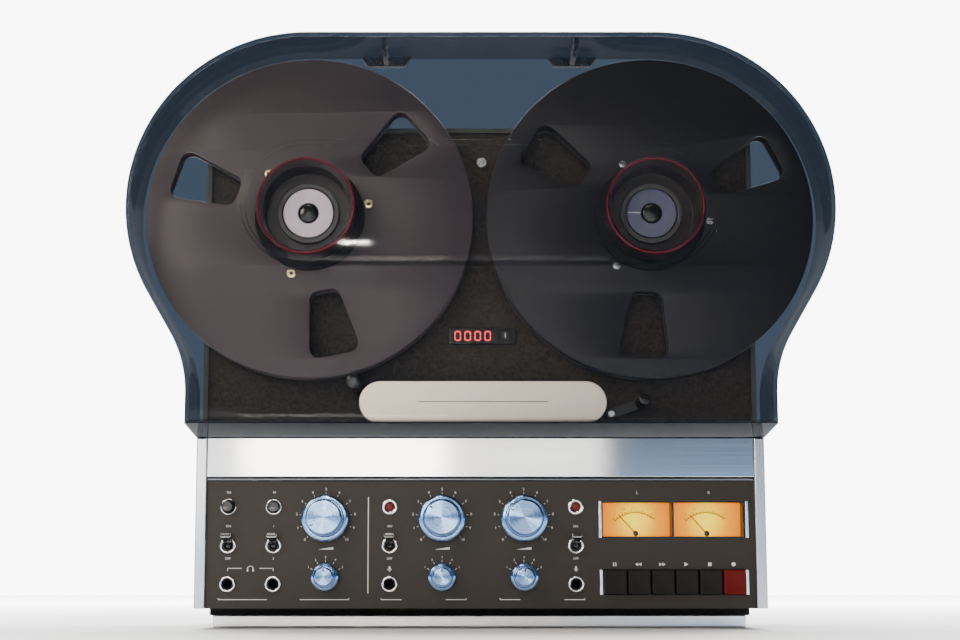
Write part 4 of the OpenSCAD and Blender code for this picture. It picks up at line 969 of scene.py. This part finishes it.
acrylic("pane", "clear_pane", 0.05, 0.03, 0.15)
wear(nodes["meter_window"].data, "pane")
smoke_alpha, smoke_gloss = 0.14, 0.35
tree, shader, where, blend = acrylic("smoke", "smoked_acrylic", (0.005, 0.008, 0.014), smoke_alpha, smoke_gloss)
print("acrylic:", paint["smoke"].name)

# %% Denser margin and folded lip
# Alpha follows the distance of v from the middle row of the cover's map, where its rear rim is.
# Below the height of the lip the sheet is made opaque, so its dark tint there is painted shade, and its gloss is low.
margin = [(0.045, 0.46), (1.0, smoke_alpha), (0.145, smoke_alpha), (0.26, smoke_alpha), (0.29, 0.50), (0.325, 0.50),
          (0.35, smoke_alpha)]
lip_z = 0.1605
split, height, shift, far, most = add_nodes(tree, "SeparateXYZ", "SeparateXYZ", "Math", "Math", "Math")
ramp, lip_shade, satin = add_nodes(tree, "ValToRGB", "MapRange", "MapRange")
shift.operation, far.operation, most.operation = "SUBTRACT", "ABSOLUTE", "MAXIMUM"
shift.inputs[1].default_value = 0.5
set_ramp(ramp, *margin)
put(lip_shade, From_Min=lip_z - 0.001, From_Max=lip_z + 0.001, To_Min=1.0, To_Max=0.0)
put(satin, From_Min=lip_z - 0.001, From_Max=lip_z + 0.001, To_Min=0.02, To_Max=smoke_gloss)
join(tree, (where, "UV", split, "Vector"), (split, "Y", shift, 0), (shift, 0, far, 0), (far, 0, ramp, "Fac"),
     (where, "Object", height, "Vector"), (height, "Z", lip_shade, "Value"), (height, "Z", satin, "Value"),
     (ramp, "Color", most, 0), (lip_shade, "Result", most, 1), (most, 0, shader, "Alpha"),
     (satin, "Result", shader, "Specular IOR Level"))
print("margin has", len(margin), "stops")

# %% [markdown]
# The cover is one shell. Its outline has two big arcs round the hubs, slopes in below them and
# runs down to the control section. Rings of this outline go from inside the face, round the
# wall, over the front edge and up on to the raised field, where they shrink to the line between
# the hubs. A box with booleans would give hard edges; here every edge is a curve.

# %% Cover outline
cover_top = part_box("dust_cover")[1].z / MM


def cover_loop(inset, foot):
    """Outline of the cover moved inwards. foot raises the bottom edge and widens it, for the
    sloping lip: at 0 it is the lowest edge, at 1 the front face's bottom edge."""
    r, slope, reach = cover_top - hub_z - inset, np.radians(30), 26.0
    low_x, bottom = 230 - inset, 151.4 + inset + 7.5 * foot
    t = np.linspace(np.pi / 2, -slope, 60)
    arc = np.stack([hub_x + r * np.cos(t), hub_z + r * np.sin(t)], -1)
    shoulder = np.array([low_x, arc[-1, 1] - (arc[-1, 0] - low_x) / np.tan(slope)])
    a = shoulder + np.array([np.sin(slope), np.cos(slope)]) * reach
    b = shoulder - np.array([0, reach])
    s = np.linspace(0, 1, 16)[:, None]
    bend = (1 - s) ** 2 * a + 2 * s * (1 - s) * shoulder + s ** 2 * b
    corner, above = [low_x - 3.8 * (1 - foot), bottom], [low_x, bottom + 7.5]
    side_line = np.linspace(b, above, 10)[1:]
    lip = np.linspace(above, corner, 5)[1:]
    under = np.linspace(corner, [0, bottom], 40)[1:]
    top = np.linspace([0, hub_z + r], [hub_x, hub_z + r], 40)[:-1]
    half = np.concatenate([top, arc, bend, side_line, lip, under])
    return np.concatenate([half, (half * [-1, 1])[::-1][1:]])[::-1]


def field_loop(loop, r):
    """For each point of the outline, the point r away from the line between the hubs in the
    same direction."""
    base = np.stack([np.clip(loop[:, 0], -hub_x, hub_x), np.full(len(loop), hub_z)], -1)
    way = loop - base
    return base + way / np.linalg.norm(way, axis=1, keepdims=True) * r


print("cover outline:", len(cover_loop(0, 0)), "points")

# %% Cover shell
def cover_half(inset, front, plateau):
    """Rings from the rear rim to the middle of the raised field, at one distance from the
    outer skin."""
    rings = [(cover_loop(inset, 0), 9.0), (cover_loop(inset, 0), 27.0)]
    edge = 3.0 if inset == 0 else 1.2
    for a in np.linspace(0, np.pi / 2, 7):
        rings.append((cover_loop(inset + edge * (1 - np.cos(a)), 1), front - edge + edge * np.sin(a)))
    flat = rings[-1][0]
    top, low = 48.5 - inset, 51.5 - inset
    start = field_loop(flat, low + 0.4)
    rings += [(flat + (start - flat) * k, front) for k in (0.03, 0.35, 0.7, 1.0)]
    for k in np.linspace(0, 1, 9):
        rings.append((field_loop(flat, low + (top - low) * k),
                      front + (plateau - 0.45 - front) * k * k * (3 - 2 * k)))
    for r, drop in ((top - 0.3, 0.42), (top - 0.8, 0.37), (top - 4.2, 0.02), (top - 4.8, 0), (0.6 * top, 0),
                    (0.3 * top, 0), (0, 0)):
        rings.append((field_loop(flat, r), plateau - drop))
    return np.stack([stand(loop, f) for loop, f in rings])


skin, face_f, field_f = 3.0, 57.0, 65.0
outer, inner = cover_half(0.0, face_f, field_f), cover_half(skin, face_f - skin, field_f - skin)
shell = make("cover_shell", [np.concatenate([inner[::-1], outer])], "smoke", "dust_cover",
             ["dust_cover"], 50)
coat("rib", "rib_smoke", (0.010, 0.014, 0.024), (0.016, 0.022, 0.036), 200, (0.2, 0.3), Coat_Weight=0.5)
ribs, rib_x = [], 77
high, low = cover_top - 3.1, cover_top - 10.9
for x in (-rib_x, rib_x):
    foot = np.array([[x + 21, high], [x - 21, high], [x - 15, low], [x + 15, low], [x + 21, high]])
    ribs += [bar(x - 2, x + 2, low + 0.4, high, 9.5, 53.5, 0.6, 0.6), plate(foot, [(0, 9), (0, 13)])]
make("cover_ribs", ribs, "rib", "dust_cover")
print("cover shell:", len(shell.polygons), "faces")

# %% [markdown]
# ## Light and floor
# A plain pale floor, a surround and soft lamps. Metal shows what it mirrors, so each flat lamp
# far in front is put where one surface mirrors it: warm ones on the left for the band, dim blue
# ones on the right and below for the knobs. The others light the reels, the walls and the floor.
# The floor turns as white as the paper behind it towards its far end, as on a photo table.

# %% Surround
# Its brightness rises from the front to the back. The camera sees white paper, and through the
# cover it sees the dim room, as it would with a real backdrop set aside.
front, back = (0.022, 0.027, 0.036, 1), (0.32, 0.34, 0.38, 1)
room, paper = (0.075, 0.11, 0.165, 1), (9.0, 9.0, 9.0, 1)
first, second, mixed = 6, 7, 2  # a Mix node's colour sockets by number
world = bpy.data.worlds.new("studio")
world.use_nodes = True
tree = world.node_tree
where, split, ramp, ray, beyond = add_nodes(tree, "TexCoord", "SeparateXYZ", "MapRange", "LightPath", "Math")
surround, seen, through = add_nodes(tree, "Mix", "Mix", "Mix")
for mix in (surround, seen, through):
    mix.data_type = "RGBA"
for mix, ends in ((surround, (front, back)), (through, (paper, room))):
    mix.inputs[first].default_value, mix.inputs[second].default_value = ends
put(ramp, From_Min=-0.5, From_Max=0.8)
beyond.operation = "GREATER_THAN"
beyond.inputs[1].default_value = 0.5
join(tree, (where, "Generated", split, "Vector"), (split, "Y", ramp, "Value"), (ramp, "Result", surround, "Factor"),
     (ray, "Transparent Depth", beyond, 0), (beyond, 0, through, "Factor"), (ray, "Is Camera Ray", seen, "Factor"),
     (surround, mixed, seen, first), (through, mixed, seen, second), (seen, mixed, tree.nodes["Background"], "Color"))
bpy.context.scene.world = world
print("surround:", world.name)

# %% Lamps
def lamp(name, place_at, aim, size, power, colour):
    """Rectangular soft lamp that looks at a point."""
    data = bpy.data.lights.new(name, "AREA")
    data.shape, data.size, data.size_y = "RECTANGLE", *size
    data.energy, data.color = power, colour
    x, y, z = np.subtract(aim, place_at)
    thing = add_object(name, data)
    thing.location = place_at
    thing.rotation_euler = (np.arctan2(np.hypot(x, y), -z), 0, np.arctan2(y, x) - np.pi / 2)


mirror_y = -2.9  # plane of the lamps that the front surfaces mirror
warm_aim, low_aim = (-0.15, -0.05, 0.13), (0.0, -0.05, 0.08)
lamp("key_left", (-0.80, -0.90, 0.75), (-0.15, -0.05, 0.20), (0.40, 0.40), 9.5, (1.0, 0.88, 0.74))
lamp("low_left", (-0.35, mirror_y, 0.43), warm_aim, (0.62, 0.20), 9, (1.0, 0.93, 0.83))
lamp("glint", (-0.315, mirror_y, 1.045), (-0.1, -0.05, 0.15), (0.085, 0.022), 6.0, (1.0, 0.96, 0.90))
lamp("pale_left", (-1.05, mirror_y, 0.43), warm_aim, (0.76, 0.30), 3.0, (1.0, 0.98, 0.94))
lamp("pale_mid", (0.20, mirror_y, 0.43), (0.0, -0.05, 0.13), (0.48, 0.20), 1.8, (1.0, 0.95, 0.88))
lamp("dusk_right", (0.98, mirror_y, 0.45), (0.15, -0.05, 0.13), (1.9, 0.26), 0.4, (0.62, 0.76, 1.0))
lamp("blue_right", (0.85, mirror_y, 0.16), low_aim, (0.75, 0.28), 1.6, (0.30, 0.58, 1.0))
lamp("blue_left", (-1.05, mirror_y, 0.16), low_aim, (0.6, 0.28), 1.6, (0.30, 0.58, 1.0))
lamp("high_left", (-0.35, -1.6, 2.6), (-0.1, -0.05, 0.10), (0.75, 0.5), 26, (1.0, 0.94, 0.86))
lamp("side_left", (-2.6, -0.9, 0.13), (0, -0.1, 0.1), (0.8, 0.24), 5, (0.36, 0.60, 1.0))
lamp("side_right", (2.6, -0.9, 0.13), (0, -0.1, 0.1), (0.8, 0.24), 5, (0.36, 0.60, 1.0))
lamp("above", (0.0, 1.7, 3.2), (0, 1.2, 0.0), (5.0, 3.0), 700, (1.0, 1.0, 1.0))
print(len(bpy.data.lights), "lamps")

# %% Floor
# The camera sees it glow more with the distance, except through the cover.
ground = bpy.data.meshes.new("floor")
ground.from_pydata([(-8, -8, 0), (8, -8, 0), (8, 8, 0), (-8, 8, 0)], [], [(0, 1, 2, 3)])
tree, shader, where, turn = coat("floor", "floor_pale", 0.88, 0.92, 3, (0.6, 0.7), 0.0,
                                 Emission_Color=(1, 1, 1, 1))
far, white, ray, seen, clear, bare = add_nodes(tree, "VectorMath", "MapRange", "LightPath", "Math", "Math", "Math")
far.operation, seen.operation, clear.operation, bare.operation = "LENGTH", "MULTIPLY", "LESS_THAN", "MULTIPLY"
clear.inputs[1].default_value = 0.5
put(white, From_Min=0.4, From_Max=2.2, To_Max=6.0)
join(tree, (where, "Object", far, 0), (far, "Value", white, "Value"), (white, "Result", seen, 0),
     (ray, "Is Camera Ray", seen, 1), (ray, "Transparent Depth", clear, 0), (seen, 0, bare, 0), (clear, 0, bare, 1),
     (bare, 0, shader, "Emission Strength"))
wear(ground, "floor")
floor = add_object("floor", ground)
print("floor ready")
